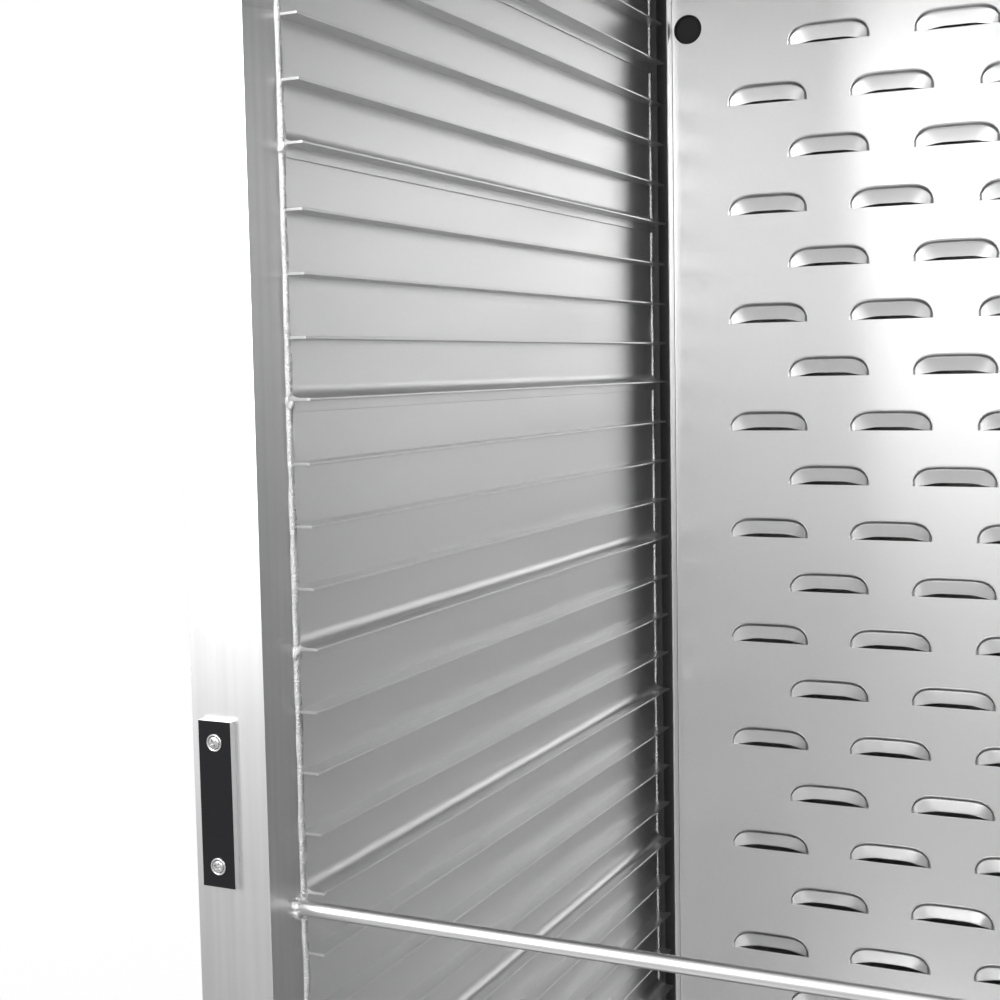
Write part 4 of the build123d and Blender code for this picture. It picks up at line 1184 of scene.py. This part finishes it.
# ------------------------------------------------------------------ door
@dataclass
class Door:
    """Glazed door on three hinges, modelled shut and swung open with its joint."""

    width: float = 566.0 * MM
    edge_gap: float = 9.0 * MM
    thickness: float = 40.0 * MM
    stile: float = 60.0 * MM
    seal_width: float = 8.0 * MM
    gasket_width: float = 10.0 * MM
    gasket_height: float = 9.7 * MM
    gasket_edge: float = 246.0 * MM
    hinge_length: float = 90.0 * MM
    leaf_thick: float = 3.0 * MM
    hinges: int = 3
    seam: float = 0.5 * MM
    pane_grip: float = 5.0 * MM
    pane_half: float = 2.05 * MM

    def __post_init__(self) -> None:
        """Read the hinge and the heights from the frame."""
        hinge = joint("door_hinge")
        self.pivot = Vector((hinge["pos_m"][0], hinge["pos_m"][1], 0))
        self.swing = -math.radians(hinge["range_deg"][0])
        low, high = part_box("door_frame")
        self.bottom, self.top = low.z, high.z
        self.right = self.pivot.x - self.edge_gap
        self.left = self.right - self.width
        self.inner = self.pivot.y + self.thickness

    def turned(self, angle: float) -> Matrix:
        """A turn about the hinge line."""
        there = Matrix.Translation(self.pivot)
        return there @ Matrix.Rotation(angle, 4, "Z") @ Matrix.Translation(-self.pivot)

    def open_up(self, piece: bpy.types.Object) -> None:
        """Swing a piece that was modelled shut to where the door stands."""
        piece.data.transform(self.turned(self.swing))

    def shut(self, piece: bpy.types.Object) -> None:
        """Swing a piece from where the door stands to its shut place."""
        piece.data.transform(self.turned(-self.swing))

    def leaf(self) -> None:
        """Dress the frame, cut its corner seams, and dress the liner."""
        piece = refine("door_frame", "door_frame_body", SKIN, "door", edge=1.6)
        self.shut(piece)
        half = self.seam / 2
        face = self.pivot.y
        spans = ((self.left - MM, self.left + self.stile), (self.right - self.stile, self.right + MM))
        for z in (self.bottom + self.stile, self.top - self.stile):
            for x0, x1 in spans:
                carve(piece, block("seam", Vector((x0, face - MM, z - half)),
                                   Vector((x1, face + self.seam, z + half))))
        smooth(piece)
        self.open_up(piece)
        refine("door_liner", "door_liner_sheet", LINER, "door", edge=0.5)

    def glazing(self) -> None:
        """Dress the pane, and model the rubber bead that grips it on both faces."""
        refine("door_window", "door_pane", PANE, "door", edge=0.4)
        seal_low, seal_high = self.left + self.stile, self.right - self.stile
        low = Vector((seal_low, self.pivot.y + self.thickness / 2, self.bottom + self.stile))
        high = Vector((seal_high, 0, self.top - self.stile))
        w, half, grip, pane, r = self.seal_width, 6.0 * MM, self.pane_grip, self.pane_half, 2.2 * MM
        section = [(0.0, -half), (0.0, half), (-0.4 * w, half), *arc((-w + r, half - r), r, 90, 180, 4),
                   (-w, pane), (-w + grip, pane), (-w + grip, -pane), (-w, -pane),
                   *arc((-w + r, r - half), r, 180, 270, 4), (-0.4 * w, -half)]
        bead = frame_ring("window_bead", section, low, high)
        smooth(bead, 30)
        self.open_up(bead)
        dress(bead, SEAL, "door", ["window_seal"])

    def gasket(self) -> None:
        """Model the bulb gasket on the liner."""
        low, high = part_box("door_gasket")
        edge = self.gasket_edge
        w, h = self.gasket_width, self.gasket_height
        foot, neck = 1.8 * MM, 2.2 * MM
        bulb = (h - foot + 0.6 * MM) / 2
        section = [(0.0, 0.0), (0.0, foot), (-w / 2 + neck, foot),
                   *arc((-w / 2, h - bulb), bulb, -55, 235, 14), (-w / 2 - neck, foot), (-w, foot), (-w, 0.0)]
        ring = frame_ring("bulb_gasket", section, Vector((chamber.middle - edge, self.inner, low.z)),
                          Vector((chamber.middle + edge, 0, high.z)))
        smooth(ring, 32)
        self.open_up(ring)
        dress(ring, GASKET, "door", ["door_gasket"])

    def fittings(self) -> None:
        """Dress the handle, the magnet and the hinges, and set their screws."""
        refine("door_handle", "bow_handle", CHROME, "door", edge=0.9)
        refine("latch_magnet", "latch_magnet_block", MAGNET, "door", edge=1.2)
        refine("door_hinge_leaves", "door_leaves", SCREW, "door", edge=0.7)
        refine("post_hinge_leaves", "post_leaves", SCREW, "cabinet", edge=0.7)
        refine("hinge_pins", "pins", CHROME, "cabinet", edge=0.6)
        low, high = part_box("door_hinge_leaves")
        spread = high.z - low.z - self.hinge_length
        middles = [low.z + self.hinge_length / 2 + spread * i / (self.hinges - 1) for i in range(self.hinges)]
        face = self.pivot.y - self.leaf_thick
        on_door = [Vector((self.right - x * MM, face, z + dz * MM)) for z in middles
                   for x, dz in ((14, 32), (14, -32), (34, 32), (34, -32), (34, 0))]
        screws = CrossScrew(3.6 * MM, 0.9 * MM).drive("door_leaf_screws", on_door, Vector((0, -1, 0)))
        self.open_up(screws)
        dress(screws, SCREW, "door")
        side = corner("post_hinge_leaves", "low").x + self.leaf_thick
        reach = corner("post_hinge_leaves", "high").y
        on_post = [Vector((side, reach - y * MM, z + dz * MM)) for z in middles
                   for y, dz in ((10, 32), (10, -32), (26, 32), (26, -32), (18, 0))]
        dress(CrossScrew(3.6 * MM, 0.9 * MM).drive("post_leaf_screws", on_post, Vector((1, 0, 0))), SCREW)

    def build(self) -> None:
        """Make the door."""
        self.leaf()
        self.glazing()
        self.gasket()
        self.fittings()


# ------------------------------------------------------------------ heat and humidity module
@dataclass
class Knob:
    """Fluted control knob with a white pointer line and a printed scale behind it."""

    node: str
    body: str
    flutes: int = 18
    flute_depth: float = 0.06
    flute_steps: int = 6
    ticks: int = 11
    sweep: float = 300.0

    def __post_init__(self) -> None:
        """Read the knob's centre and radius from the frame."""
        low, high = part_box(self.node)
        self.centre = Vector(((low.x + high.x) / 2, 0, (low.z + high.z) / 2))
        self.radius = (high.x - low.x) / 2
        self.panel = corner("control_panel", "low").y
        self.front = low.y

    def dial(self) -> None:
        """Turn the skirt and grip, flute the grip, and inlay the pointer."""
        back, r = self.panel - 1.0 * MM, self.radius
        face = self.front + 1.0 * MM
        grip, skirt = 0.72 * r, back - 5.0 * MM
        profile = [(0.0, back), (r - 0.4 * MM, back), (r, back - 0.4 * MM), (r, skirt + 1.2 * MM),
                   *arc((r - 1.2 * MM, skirt + 1.2 * MM), 1.2 * MM, 0, -90, 4), (grip + 1.6 * MM, skirt),
                   *arc((grip + 1.6 * MM, skirt - 1.6 * MM), 1.6 * MM, 90, 180, 4),
                   (grip, (skirt + face) / 2), *arc((grip - 1.5 * MM, face + 1.5 * MM), 1.5 * MM, 0, -90, 4),
                   (grip - 3.5 * MM, face), (grip - 4.5 * MM, face + 0.5 * MM), (0.0, face + 0.5 * MM)]
        knob = lathe(self.node + "_turned", profile, self.centre, self.flutes * self.flute_steps)
        for vertex in knob.data.vertices:
            out = vertex.co - self.centre
            across = math.hypot(out.x, out.z)
            if across > grip - 1.6 * MM and vertex.co.y < skirt - 1.0 * MM:
                wave = math.cos(self.flutes * math.atan2(out.z, out.x))
                dip = 1.0 - self.flute_depth * (0.5 - 0.5 * wave)
                vertex.co.x = self.centre.x + out.x * dip
                vertex.co.z = self.centre.z + out.z * dip
        smooth(knob, 32)
        spindle = disc_bar("spindle", 3.0 * MM, self.centre + Vector((0, back - MM, 0)),
                           self.centre + Vector((0, corner(self.node, "high").y, 0)), 20)
        dress(join(self.node + "_turned", [knob, spindle]), KNOB, self.body, [self.node])
        half = 0.7 * MM
        line = block(self.node + "_pointer",
                     self.centre + Vector((-half, self.front + 0.1 * MM, 0.18 * r)),
                     self.centre + Vector((half, face + 0.7 * MM, 0.66 * r)))
        soften(line, 0.2 * MM, 2)
        dress(line, MARK, self.body)

    def scale(self) -> None:
        """Print the tick marks round the knob."""
        tick = block("tick", Vector((-0.5 * MM, self.panel - 0.12 * MM, self.radius + 3.0 * MM)),
                     Vector((0.5 * MM, self.panel + 0.05 * MM, self.radius + 6.5 * MM)))
        moves = []
        for i in range(self.ticks):
            angle = math.radians(-self.sweep * i / (self.ticks - 1))
            moves.append(Matrix.Translation(self.centre) @ Matrix.Rotation(-angle, 4, "Y"))
        dress(scatter(self.node + "_scale", tick, moves), SEAL)

    def build(self) -> None:
        """Make the knob and its scale."""
        self.dial()
        self.scale()


@dataclass
class Thermometer:
    """Dial thermometer: rolled bezel, printed dial, needle and glass."""

    rim: float = 3.0 * MM
    ticks: int = 31
    sweep: float = 270.0
    reading: float = 100.0

    def build(self) -> None:
        """Make the dial's parts at the thermometer's place."""
        low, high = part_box("thermometer")
        centre = Vector(((low.x + high.x) / 2, 0, (low.z + high.z) / 2))
        r, front = (high.x - low.x) / 2, low.y
        panel = corner("control_panel", "low").y
        inner = r - self.rim

        def turned(name: str, profile: Sequence[tuple[float, float]]) -> bpy.types.Object:
            """Turn a profile of radius and Y about the dial's axis."""
            piece = lathe(name, profile, centre, 64)
            smooth(piece, 35)
            return piece

        roll = 1.4 * MM
        case = turned("thermometer_case", [
            (0.0, high.y), (inner - 0.2 * MM, high.y), (inner - 0.2 * MM, panel), (r, panel),
            (r, front + roll), *arc((r - roll, front + roll), roll, 0, -90, 5),
            (inner + 0.4 * MM, front + 0.2 * MM), (inner, front + 1.0 * MM), (inner, panel - 1.5 * MM),
            (0.0, panel - 1.5 * MM)])
        dress(case, DIAL_RIM, nodes=["thermometer"])
        dress(turned("dial_face", [(0.0, panel - 1.55 * MM), (inner - 0.1 * MM, panel - 1.55 * MM),
                                   (inner - 0.1 * MM, panel - 1.9 * MM), (0.0, panel - 1.9 * MM)]),
              DIAL_FACE)
        dress(turned("dial_glass", [(0.0, front + 2.1 * MM), (inner - 0.05 * MM, front + 2.1 * MM),
                                    (inner - 0.05 * MM, front + 1.2 * MM), (0.0, front + 0.9 * MM)]),
              PANE)
        tick = block("dial_tick", Vector((-0.25 * MM, panel - 2.0 * MM, inner - 4.0 * MM)),
                     Vector((0.25 * MM, panel - 1.85 * MM, inner - 1.2 * MM)))
        start = -self.sweep / 2

        def at(degrees: float) -> Matrix:
            """Place something on the dial, clockwise from the scale's low end."""
            return Matrix.Translation(centre) @ Matrix.Rotation(math.radians(start + degrees), 4, "Y")

        moves = [at(self.sweep * i / (self.ticks - 1))
                 @ Matrix.Diagonal((1.6 if i % 5 == 0 else 1.0, 1.0, 1.0, 1.0)) for i in range(self.ticks)]
        dress(scatter("dial_ticks", tick, moves), SEAL)
        arrow = ((-0.9, -5.0), (0.9, -5.0), (0.9, 0.0), (0.15, 15.5), (-0.15, 15.5), (-0.9, 0.0))
        needle = cut_out("dial_needle", [Vector((x * MM, panel - 2.3 * MM, z * MM)) for x, z in arrow],
                         Vector((0, 0.3 * MM, 0)))
        needle.data.transform(at(self.reading))
        boss = disc_bar("boss", 2.2 * MM, centre + Vector((0, panel - 2.9 * MM, 0)),
                        centre + Vector((0, panel - 1.9 * MM, 0)), 24)
        dress(join("dial_needle", [needle, boss]), NEEDLE)


@dataclass
class Module:
    """Heat and humidity module under the chamber floor, with its controls, pan and machinery."""

    lens_radius: float = 5.0 * MM

    def lamps(self) -> None:
        """Turn the two domed lenses and their chrome rings."""
        low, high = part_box("pilot_lamps")
        panel = corner("control_panel", "low").y
        x = (low.x + high.x) / 2
        inset = (high.x - low.x) / 2
        lenses, rings = [], []
        for number, z in enumerate((low.z + inset, high.z - inset)):
            centre = Vector((x, 0, z))
            r, front, brim = self.lens_radius, low.y, panel - 1.4 * MM
            dome = [(0.0, high.y), (r - 0.15 * MM, high.y), (r - 0.15 * MM, brim),
                    *[(r * 0.97 * math.cos(a), brim - (brim - front) * math.sin(a))
                      for a in (0.0, 0.35, 0.7, 1.05, 1.35)], (0.0, front)]
            ring = [(r, panel), (inset, panel), (inset, panel - 0.9 * MM),
                    *arc((inset - 0.7 * MM, panel - 0.9 * MM), 0.7 * MM, 0, -90, 3),
                    (r + 0.1 * MM, panel - 1.3 * MM), (r, panel)]
            for part, outline, made in (("lens", dome, lenses), ("ring", ring, rings)):
                made.append(lathe(f"{part}_{number}", outline, centre, 32))
        for name, parts, finish in (("lamp_lenses", lenses, LENS), ("lamp_rings", rings, CHROME)):
            piece = join(name, parts)
            smooth(piece, 35)
            dress(piece, finish, nodes=["pilot_lamps"] if finish is LENS else [])

    def switch(self) -> None:
        """Round the rocker and frame it with a bezel."""
        refine("power_switch", "rocker_cap", KNOB, "rocker", edge=0.8)
        low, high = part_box("control_panel")
        box_low, box_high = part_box("power_switch")
        middle_x, middle_z = (box_low.x + box_high.x) / 2, (low.z + high.z) / 2
        half_x, half_z = 11.0 * MM, 15.0 * MM
        section = [(0.7 * MM, 0.0), (3.1 * MM, 0.0), (3.1 * MM, -0.5 * MM), (2.4 * MM, -1.2 * MM),
                   (1.0 * MM, -1.3 * MM), (0.7 * MM, -1.1 * MM)]
        bezel = frame_ring("switch_bezel", section, Vector((middle_x - half_x, low.y, middle_z - half_z)),
                           Vector((middle_x + half_x, 0, middle_z + half_z)))
        smooth(bezel, 30)
        dress(bezel, KNOB)
        rise = middle_z + half_z
        bar = block("switch_mark", Vector((middle_x - 0.5 * MM, low.y - 0.1 * MM, rise + 4.5 * MM)),
                    Vector((middle_x + 0.5 * MM, low.y + 0.05 * MM, rise + 9.5 * MM)))
        dress(bar, SEAL)

    def panel(self) -> None:
        """Dress the control panel and set its screws."""
        refine("control_panel", "control_plate", CONTROL, edge=0.35)
        low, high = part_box("control_panel")
        xs = [low.x + 9 * MM, low.x + 0.33 * (high.x - low.x), high.x - 9 * MM]
        places = [Vector((x, low.y, z)) for x in xs for z in (low.z + 8 * MM, high.z - 8 * MM)]
        dress(CrossScrew(3.4 * MM, 1.4 * MM).drive("panel_screws", places, Vector((0, -1, 0))), SCREW)

    def machinery(self) -> None:
        """Dress the housing, the pan, the element, the blower, its motor and the inlet."""
        refine("module_housing", "module_tray", GALVANISED, edge=0.4)
        refine("water_pan", "sliding_pan", CHROME, "pan", edge=0.6)
        refine("heating_element", "hairpin_element", ELEMENT, edge=0.5)
        refine("blower_wheel", "blower_cage", GALVANISED, "fan", edge=0.4)
        refine("blower_motor", "fan_motor", MOTOR, edge=2.0)
        refine("power_inlet", "mains_socket", INLET, edge=0.7)
        low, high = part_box("power_inlet")
        middle = (low.z + high.z) / 2
        places = [Vector((x, high.y, middle)) for x in (low.x + 2.6 * MM, high.x - 2.6 * MM)]
        dress(CrossScrew(1.7 * MM, 0.7 * MM).drive("inlet_screws", places, Vector((0, 1, 0))), SCREW)

    def build(self) -> None:
        """Make the module."""
        self.panel()
        Knob("heat_knob", "heat_dial").build()
        Knob("humidity_knob", "humidity_dial").build()
        Thermometer().build()
        self.lamps()
        self.switch()
        self.machinery()


# ------------------------------------------------------------------ casters
@dataclass
class Casters:
    """Four wheels in forks under the base frame, two of them swivelling with brakes."""

    tread_width: float = 32.0 * MM
    tread_depth: float = 14.0 * MM
    hub_width: float = 38.0 * MM
    hub_radius: float = 17.0 * MM
    web: float = 9.0 * MM
    spokes: int = 6
    bore: float = 6.05 * MM

    def wheel(self, node: str, body: str) -> None:
        """Turn the tyre and the hub of one wheel, and rib the hub."""
        low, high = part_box(node)
        centre = (low + high) / 2
        r = (high.z - low.z) / 2
        half = self.tread_width / 2
        rim = r - self.tread_depth
        crown = 3.5 * MM

        def turned(name: str, profile: Sequence[tuple[float, float]]) -> bpy.types.Object:
            """Turn a profile of radius and X about the axle."""
            return turn_up(name, [centre + Vector((x, 0, y)) for y, x in profile], Vector((1, 0, 0)), centre,
                           72)

        tyre = turned(node + "_tyre", [
            (rim, -half + MM), (rim + MM, -half), (r - crown, -half),
            *arc((r - crown, crown - half), crown, -90, 0, 4), (r, 0.0),
            *arc((r - crown, half - crown), crown, 0, 90, 4), (rim + MM, half), (rim, half - MM),
            (rim, -half + MM)])
        smooth(tyre, 30)
        dress(tyre, TREAD, body, [node])
        h, w, q = self.hub_width / 2, self.web, self.hub_radius
        flat = half - 2 * MM
        hub = turned(node + "_hub", [
            (self.bore, -h), (q - MM, -h), (q, MM - h), (q, -w), (rim - 7 * MM, -w), (rim - 5 * MM, -flat),
            (rim, -flat), (rim, flat), (rim - 5 * MM, flat), (rim - 7 * MM, w), (q, w),
            (q, h - MM), (q - MM, h), (self.bore, h), (self.bore, -h)])
        parts = [hub]
        for side in (-1, 1):
            for number in range(self.spokes):
                rib = block("rib", Vector((0, -1.5 * MM, q - 2 * MM)),
                            Vector((side * 5.5 * MM, 1.5 * MM, rim - 4 * MM)))
                soften(rib, 0.5 * MM, 2)
                turn = Matrix.Rotation(math.tau * number / self.spokes, 4, "X")
                place = Matrix.Translation(centre + Vector((side * (w - 0.5 * MM), 0, 0)))
                rib.data.transform(place @ turn)
                parts.append(rib)
        hub = join(node + "_hub", parts)
        smooth(hub, 30)
        dress(hub, HUB, body)

    def bolts(self, node: str, body: str) -> None:
        """Model the axle bolts with hexagon heads, washers and nuts."""
        low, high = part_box(node)
        radius, parts = (high.z - low.z) / 2, []
        both = ("rear_left_wheel", "rear_right_wheel")
        wheels = both if node == "rear_axles" else (node.replace("axle", "wheel"),)
        for number, wheel in enumerate(wheels):
            wheel_low, wheel_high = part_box(wheel)
            centre = (wheel_low + wheel_high) / 2
            reach = self.hub_width / 2 + 4.0 * MM
            parts.append(disc_bar(f"{node}_{number}_bar", 6.0 * MM, centre - Vector((reach, 0, 0)),
                                  centre + Vector((reach, 0, 0)), 24))
            for side in (-1, 1):
                face = centre + Vector((side * reach, 0, 0))
                out = Vector((side, 0, 0))
                washer = disc_bar("washer", radius, face, face + out * 1.2 * MM, 32)
                head = disc_bar("head", radius * 0.98, face + out * 1.2 * MM, face + out * 6.0 * MM, 6)
                soften(head, 0.6 * MM, 2)
                parts += [washer, head]
        piece = join(node + "_bolts", parts)
        smooth(piece, 30)
        dress(piece, ZINC, body, [node])

    def build(self) -> None:
        """Make the four casters."""
        for side in ("left", "right"):
            self.wheel(f"front_{side}_wheel", f"front_{side}_roller")
            self.wheel(f"rear_{side}_wheel", f"rear_{side}_roller")
            swivel = f"front_{side}_swivel"
            refine(f"front_{side}_fork", f"front_{side}_fork_pressing", ZINC, swivel, edge=1.0)
            self.bolts(f"front_{side}_axle", swivel)
            pedal = f"{side}_brake_pedal"
            refine(pedal, pedal + "_plate", BLACK_AND_PAINTED_REFLECTION, f"{side}_brake", edge=0.8)
        refine("rear_forks", "rear_fork_pressings", ZINC, edge=1.0)
        self.bolts("rear_axles", "cabinet")
        refine("caster_plates", "swivel_plates", ZINC, edge=0.8)


# ------------------------------------------------------------------ outside
@dataclass
class Outside:
    """Base frame, back panel, and the fasteners on the outer skins."""

    pitch: float = 150.0 * MM
    rivet_radius: float = 3.2 * MM
    rivet_height: float = 0.9 * MM
    inset: float = 11.0 * MM
    fold: float = 3.0 * MM
    tube: float = 38.0 * MM
    tube_wall: float = 2.6 * MM
    cap_inset: float = 0.5 * MM
    cap_depth: float = 6.0 * MM

    def end_caps(self) -> None:
        """Plug the open ends of the base frame's side tubes."""
        low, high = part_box("base_frame")
        half = self.tube / 2 - self.tube_wall
        caps = []
        for x in (low.x + self.tube / 2, high.x - self.tube / 2):
            for y, sign in ((low.y, 1), (high.y, -1)):
                centre = Vector((x, y, (low.z + high.z) / 2))
                near, far = sorted((self.cap_inset * sign, self.cap_depth * sign))
                cap = block("cap", centre + Vector((-half, near, -half)), centre + Vector((half, far, half)))
                soften(cap, 1.2 * MM, 3)
                caps.append(cap)
        piece = join("tube_end_caps", caps)
        smooth(piece)
        dress(piece, KNOB)

    def row(self, start: Vector, end: Vector) -> list[Vector]:
        """Evenly spaced points along a line, near the pitch."""
        start, end = Vector(start), Vector(end)
        count = max(1, round((end - start).length / self.pitch))
        return [start.lerp(end, i / count) for i in range(count + 1)]

    def build(self) -> None:
        """Dress the base and back, with painted shade on the back's inner faces, and rivet the skins."""
        refine("base_frame", "base_tubes", POST, edge=1.6)
        back = refine("back_panel", "back_sheet", SKIN, edge=0.8)
        # Inner faces of the back sheet, facing the chamber or deeper than the fold, take the darker copy as
        # painted shade inside the duct.
        back.data.materials.append(DUCT_PAINTED_SHADE.material())
        outer = corner("back_panel", "high").y
        for polygon in back.data.polygons:
            polygon.material_index = int(polygon.normal.y < -0.5 or polygon.center.y < outer - self.fold)
        self.end_caps()
        for side, sign in (("left", -1), ("right", 1)):
            low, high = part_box(f"{side}_side_panel")
            x = low.x if sign < 0 else high.x
            edges = [low.y + self.inset, high.y - self.inset]
            places = [p for y in edges
                      for p in self.row((x, y, low.z + self.inset), (x, y, high.z - self.inset))]
            dress(dome_rivets(f"{side}_skin_rivets", places, Vector((sign, 0, 0)), self.rivet_radius,
                              self.rivet_height), SCREW)
        low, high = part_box("back_panel")
        places = [p for x in (low.x + self.inset, high.x - self.inset)
                  for p in self.row((x, high.y, low.z + self.inset), (x, high.y, high.z - self.inset))]
        dress(CrossScrew(3.6 * MM, 0.9 * MM).drive("back_screws", places, Vector((0, 1, 0))), SCREW)
        low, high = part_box("top_cover")
        places = [p for y in (low.y + self.inset, high.y - self.inset)
                  for p in self.row((low.x + self.inset, y, high.z), (high.x - self.inset, y, high.z))]
        dress(dome_rivets("roof_rivets", places, Vector((0, 0, 1)), self.rivet_radius, self.rivet_height),
              SCREW)


# ------------------------------------------------------------------ studio
@dataclass
class Studio:
    """Floor, soft lights, and the camera in front of the open door.

    Attributes:
        lens: focal length in millimetres on a 36 mm sensor.
        yaw: how far the camera looks to the left, in radians.
        pitch: how far it looks down.
        roll: its turn about the line of sight.
        stand_off: distance in front of the joint plane.
        from_left_wall: distance to the right of the left wall.
        eye_height: height over the ground.
        floor_size: edge of the floor.
        floor_fade: radius at which the floor has faded out.
        front_light: strength of the white in front of the cabinet.
        low_share: share of it that is left near the ground.
        front_span: directions along Y between which the white rises to full strength.
        low_span: directions along Z between which the low share rises to the whole.
        key_watts: power of the softbox in front.
        fill_watts: power of the light in the opening.
        side_watts: power of the light at the left.
    """

    lens: float = 56.25
    yaw: float = 0.4392
    pitch: float = 0.0849
    roll: float = -0.0188
    stand_off: float = 802.1 * MM
    from_left_wall: float = 516.4 * MM
    eye_height: float = 1262.6 * MM
    floor_size: float = 12.0
    floor_fade: float = 3.2
    front_light: float = 0.80
    low_share: float = 0.60
    front_span: tuple[float, float] = (-1.0, 0.55)
    low_span: tuple[float, float] = (-0.5, 0.1)
    key_watts: float = 4.5
    fill_watts: float = 6.0
    side_watts: float = 20.0

    def camera(self) -> None:
        """Place the camera from the left wall, the joint plane and the floor."""
        data = bpy.data.cameras.new("view")
        data.lens = self.lens
        data.sensor_width = 36.0
        data.clip_start = 0.05
        forward = Vector((-math.sin(self.yaw) * math.cos(self.pitch),
                          math.cos(self.yaw) * math.cos(self.pitch), -math.sin(self.pitch)))
        right = Vector((math.cos(self.yaw), math.sin(self.yaw), 0))
        up = right.cross(forward)
        across = math.cos(self.roll) * right + math.sin(self.roll) * up
        above = math.cos(self.roll) * up - math.sin(self.roll) * right
        pose = Matrix((across, above, -forward)).transposed().to_4x4()
        pose.translation = (chamber.left + self.from_left_wall, chamber.joint - self.stand_off,
                            self.eye_height)
        camera = bpy.data.objects.new("camera", data)
        camera.matrix_world = pose
        bpy.context.scene.collection.objects.link(camera)
        bpy.context.scene.camera = camera

    def lamp(self, name: str, place: Point, target: Point, size: tuple[float, float],
             watts: float) -> None:
        """Hang one rectangular area light."""
        data = bpy.data.lights.new(name, "AREA")
        data.shape = "RECTANGLE"
        data.size, data.size_y = size
        data.energy = watts
        lamp = bpy.data.objects.new(name, data)
        lamp.location = place
        lamp.rotation_euler = (Vector(target) - Vector(place)).to_track_quat("-Z", "Y").to_euler()
        bpy.context.scene.collection.objects.link(lamp)

    def faded_floor(self) -> bpy.types.Material:
        """The floor's finish, which fades out round the cabinet."""
        material = FLOOR.material()
        nodes, links = material.node_tree.nodes, material.node_tree.links
        coords = nodes.new("ShaderNodeTexCoord")
        shrink = nodes.new("ShaderNodeMapping")
        shrink.inputs["Scale"].default_value = (1 / self.floor_fade,) * 3
        round_fade = nodes.new("ShaderNodeTexGradient")
        round_fade.gradient_type = "QUADRATIC_SPHERE"
        links.new(coords.outputs["Object"], shrink.inputs["Vector"])
        links.new(shrink.outputs["Vector"], round_fade.inputs["Vector"])
        links.new(round_fade.outputs["Fac"], nodes["Principled BSDF"].inputs["Alpha"])
        return material

    def sweep(self) -> None:
        """Surround the cabinet with white that falls off in front of it."""
        world = bpy.data.worlds.new("studio")
        world.use_nodes = True
        nodes, links = world.node_tree.nodes, world.node_tree.links
        coords = nodes.new("ShaderNodeTexCoord")
        split = nodes.new("ShaderNodeSeparateXYZ")
        fall = nodes.new("ShaderNodeMapRange")
        fall.interpolation_type = "SMOOTHSTEP"
        fall.inputs["From Min"].default_value, fall.inputs["From Max"].default_value = self.front_span
        fall.inputs["To Max"].default_value = 1.0
        dip = nodes.new("ShaderNodeMapRange")
        dip.inputs["From Min"].default_value, dip.inputs["From Max"].default_value = self.low_span
        dip.inputs["To Min"].default_value = self.front_light * self.low_share
        dip.inputs["To Max"].default_value = self.front_light
        links.new(coords.outputs["Generated"], split.inputs["Vector"])
        links.new(split.outputs["Z"], dip.inputs["Value"])
        links.new(dip.outputs["Result"], fall.inputs["To Min"])
        links.new(split.outputs["Y"], fall.inputs["Value"])
        links.new(fall.outputs["Result"], nodes["Background"].inputs["Strength"])
        nodes["Background"].inputs["Color"].default_value = (1.0, 1.0, 1.0, 1.0)
        bpy.context.scene.world = world

    def build(self) -> None:
        """Lay the floor, light the scene and place the camera."""
        clear_selection()
        bpy.ops.mesh.primitive_plane_add(size=self.floor_size, location=(0, 0, 0))
        floor = take("studio_floor")
        floor.data.materials.append(self.faded_floor())
        self.sweep()
        self.lamp("front_softbox", (-0.05, -2.3, 1.45), (-0.15, 0.5, 1.25), (0.9, 1.0), self.key_watts)
        self.lamp("left_fill", (-0.95, -1.25, 1.7), (0.15, 0.3, 1.15), (0.5, 1.2), self.side_watts)
        self.lamp("opening_fill", (0.35, -0.75, 1.75), (-0.3, 0.35, 1.1), (0.35, 0.9), self.fill_watts)
        self.camera()
        bpy.context.scene.view_settings.view_transform = "Standard"


def dress_frame() -> None:
    """Give every CAD node that still shows the finish of its material slot."""
    finishes = {"satin_aluminium": SKIN, "plank_aluminium": LINER, "duct_steel": CONTROL,
                "black_plate": BLACK_AND_PAINTED_REFLECTION, "zinc_screw": SCREW, "polished_steel": CHROME,
                "clear_pane": PANE, "black_rubber": SEAL, "grey_rubber": GASKET, "magnet_block": MAGNET,
                "black_plastic": KNOB, "dial_steel": DIAL_RIM, "amber_lens": LENS,
                "galvanised_steel": GALVANISED, "element_steel": ELEMENT, "motor_paint": MOTOR,
                "inlet_plastic": INLET, "wheel_tread": TREAD, "zinc_steel": ZINC}
    for part in frame["record"]["subparts"]:
        node = frame["nodes"][part["node"]]
        if not node.hide_render:
            node.data.materials.clear()
            node.data.materials.append(finishes[part["material_slot"]].material())
            log.info("%s keeps its CAD shape", part["node"])


def main() -> None:
    """Build the cabinet's sub-assemblies in order, then the studio."""
    logging.basicConfig(level=logging.INFO, format="%(name)s: %(message)s")
    for assembly in (WallPlanks(), Welds(), DuctPanel(), StrikePlate(), Carcass(), Door(), Module(),
                     Casters(), Outside(), Studio()):
        log.info("building %s", type(assembly).__name__)
        assembly.build()
    dress_frame()


if __name__ == "__main__":
    main()
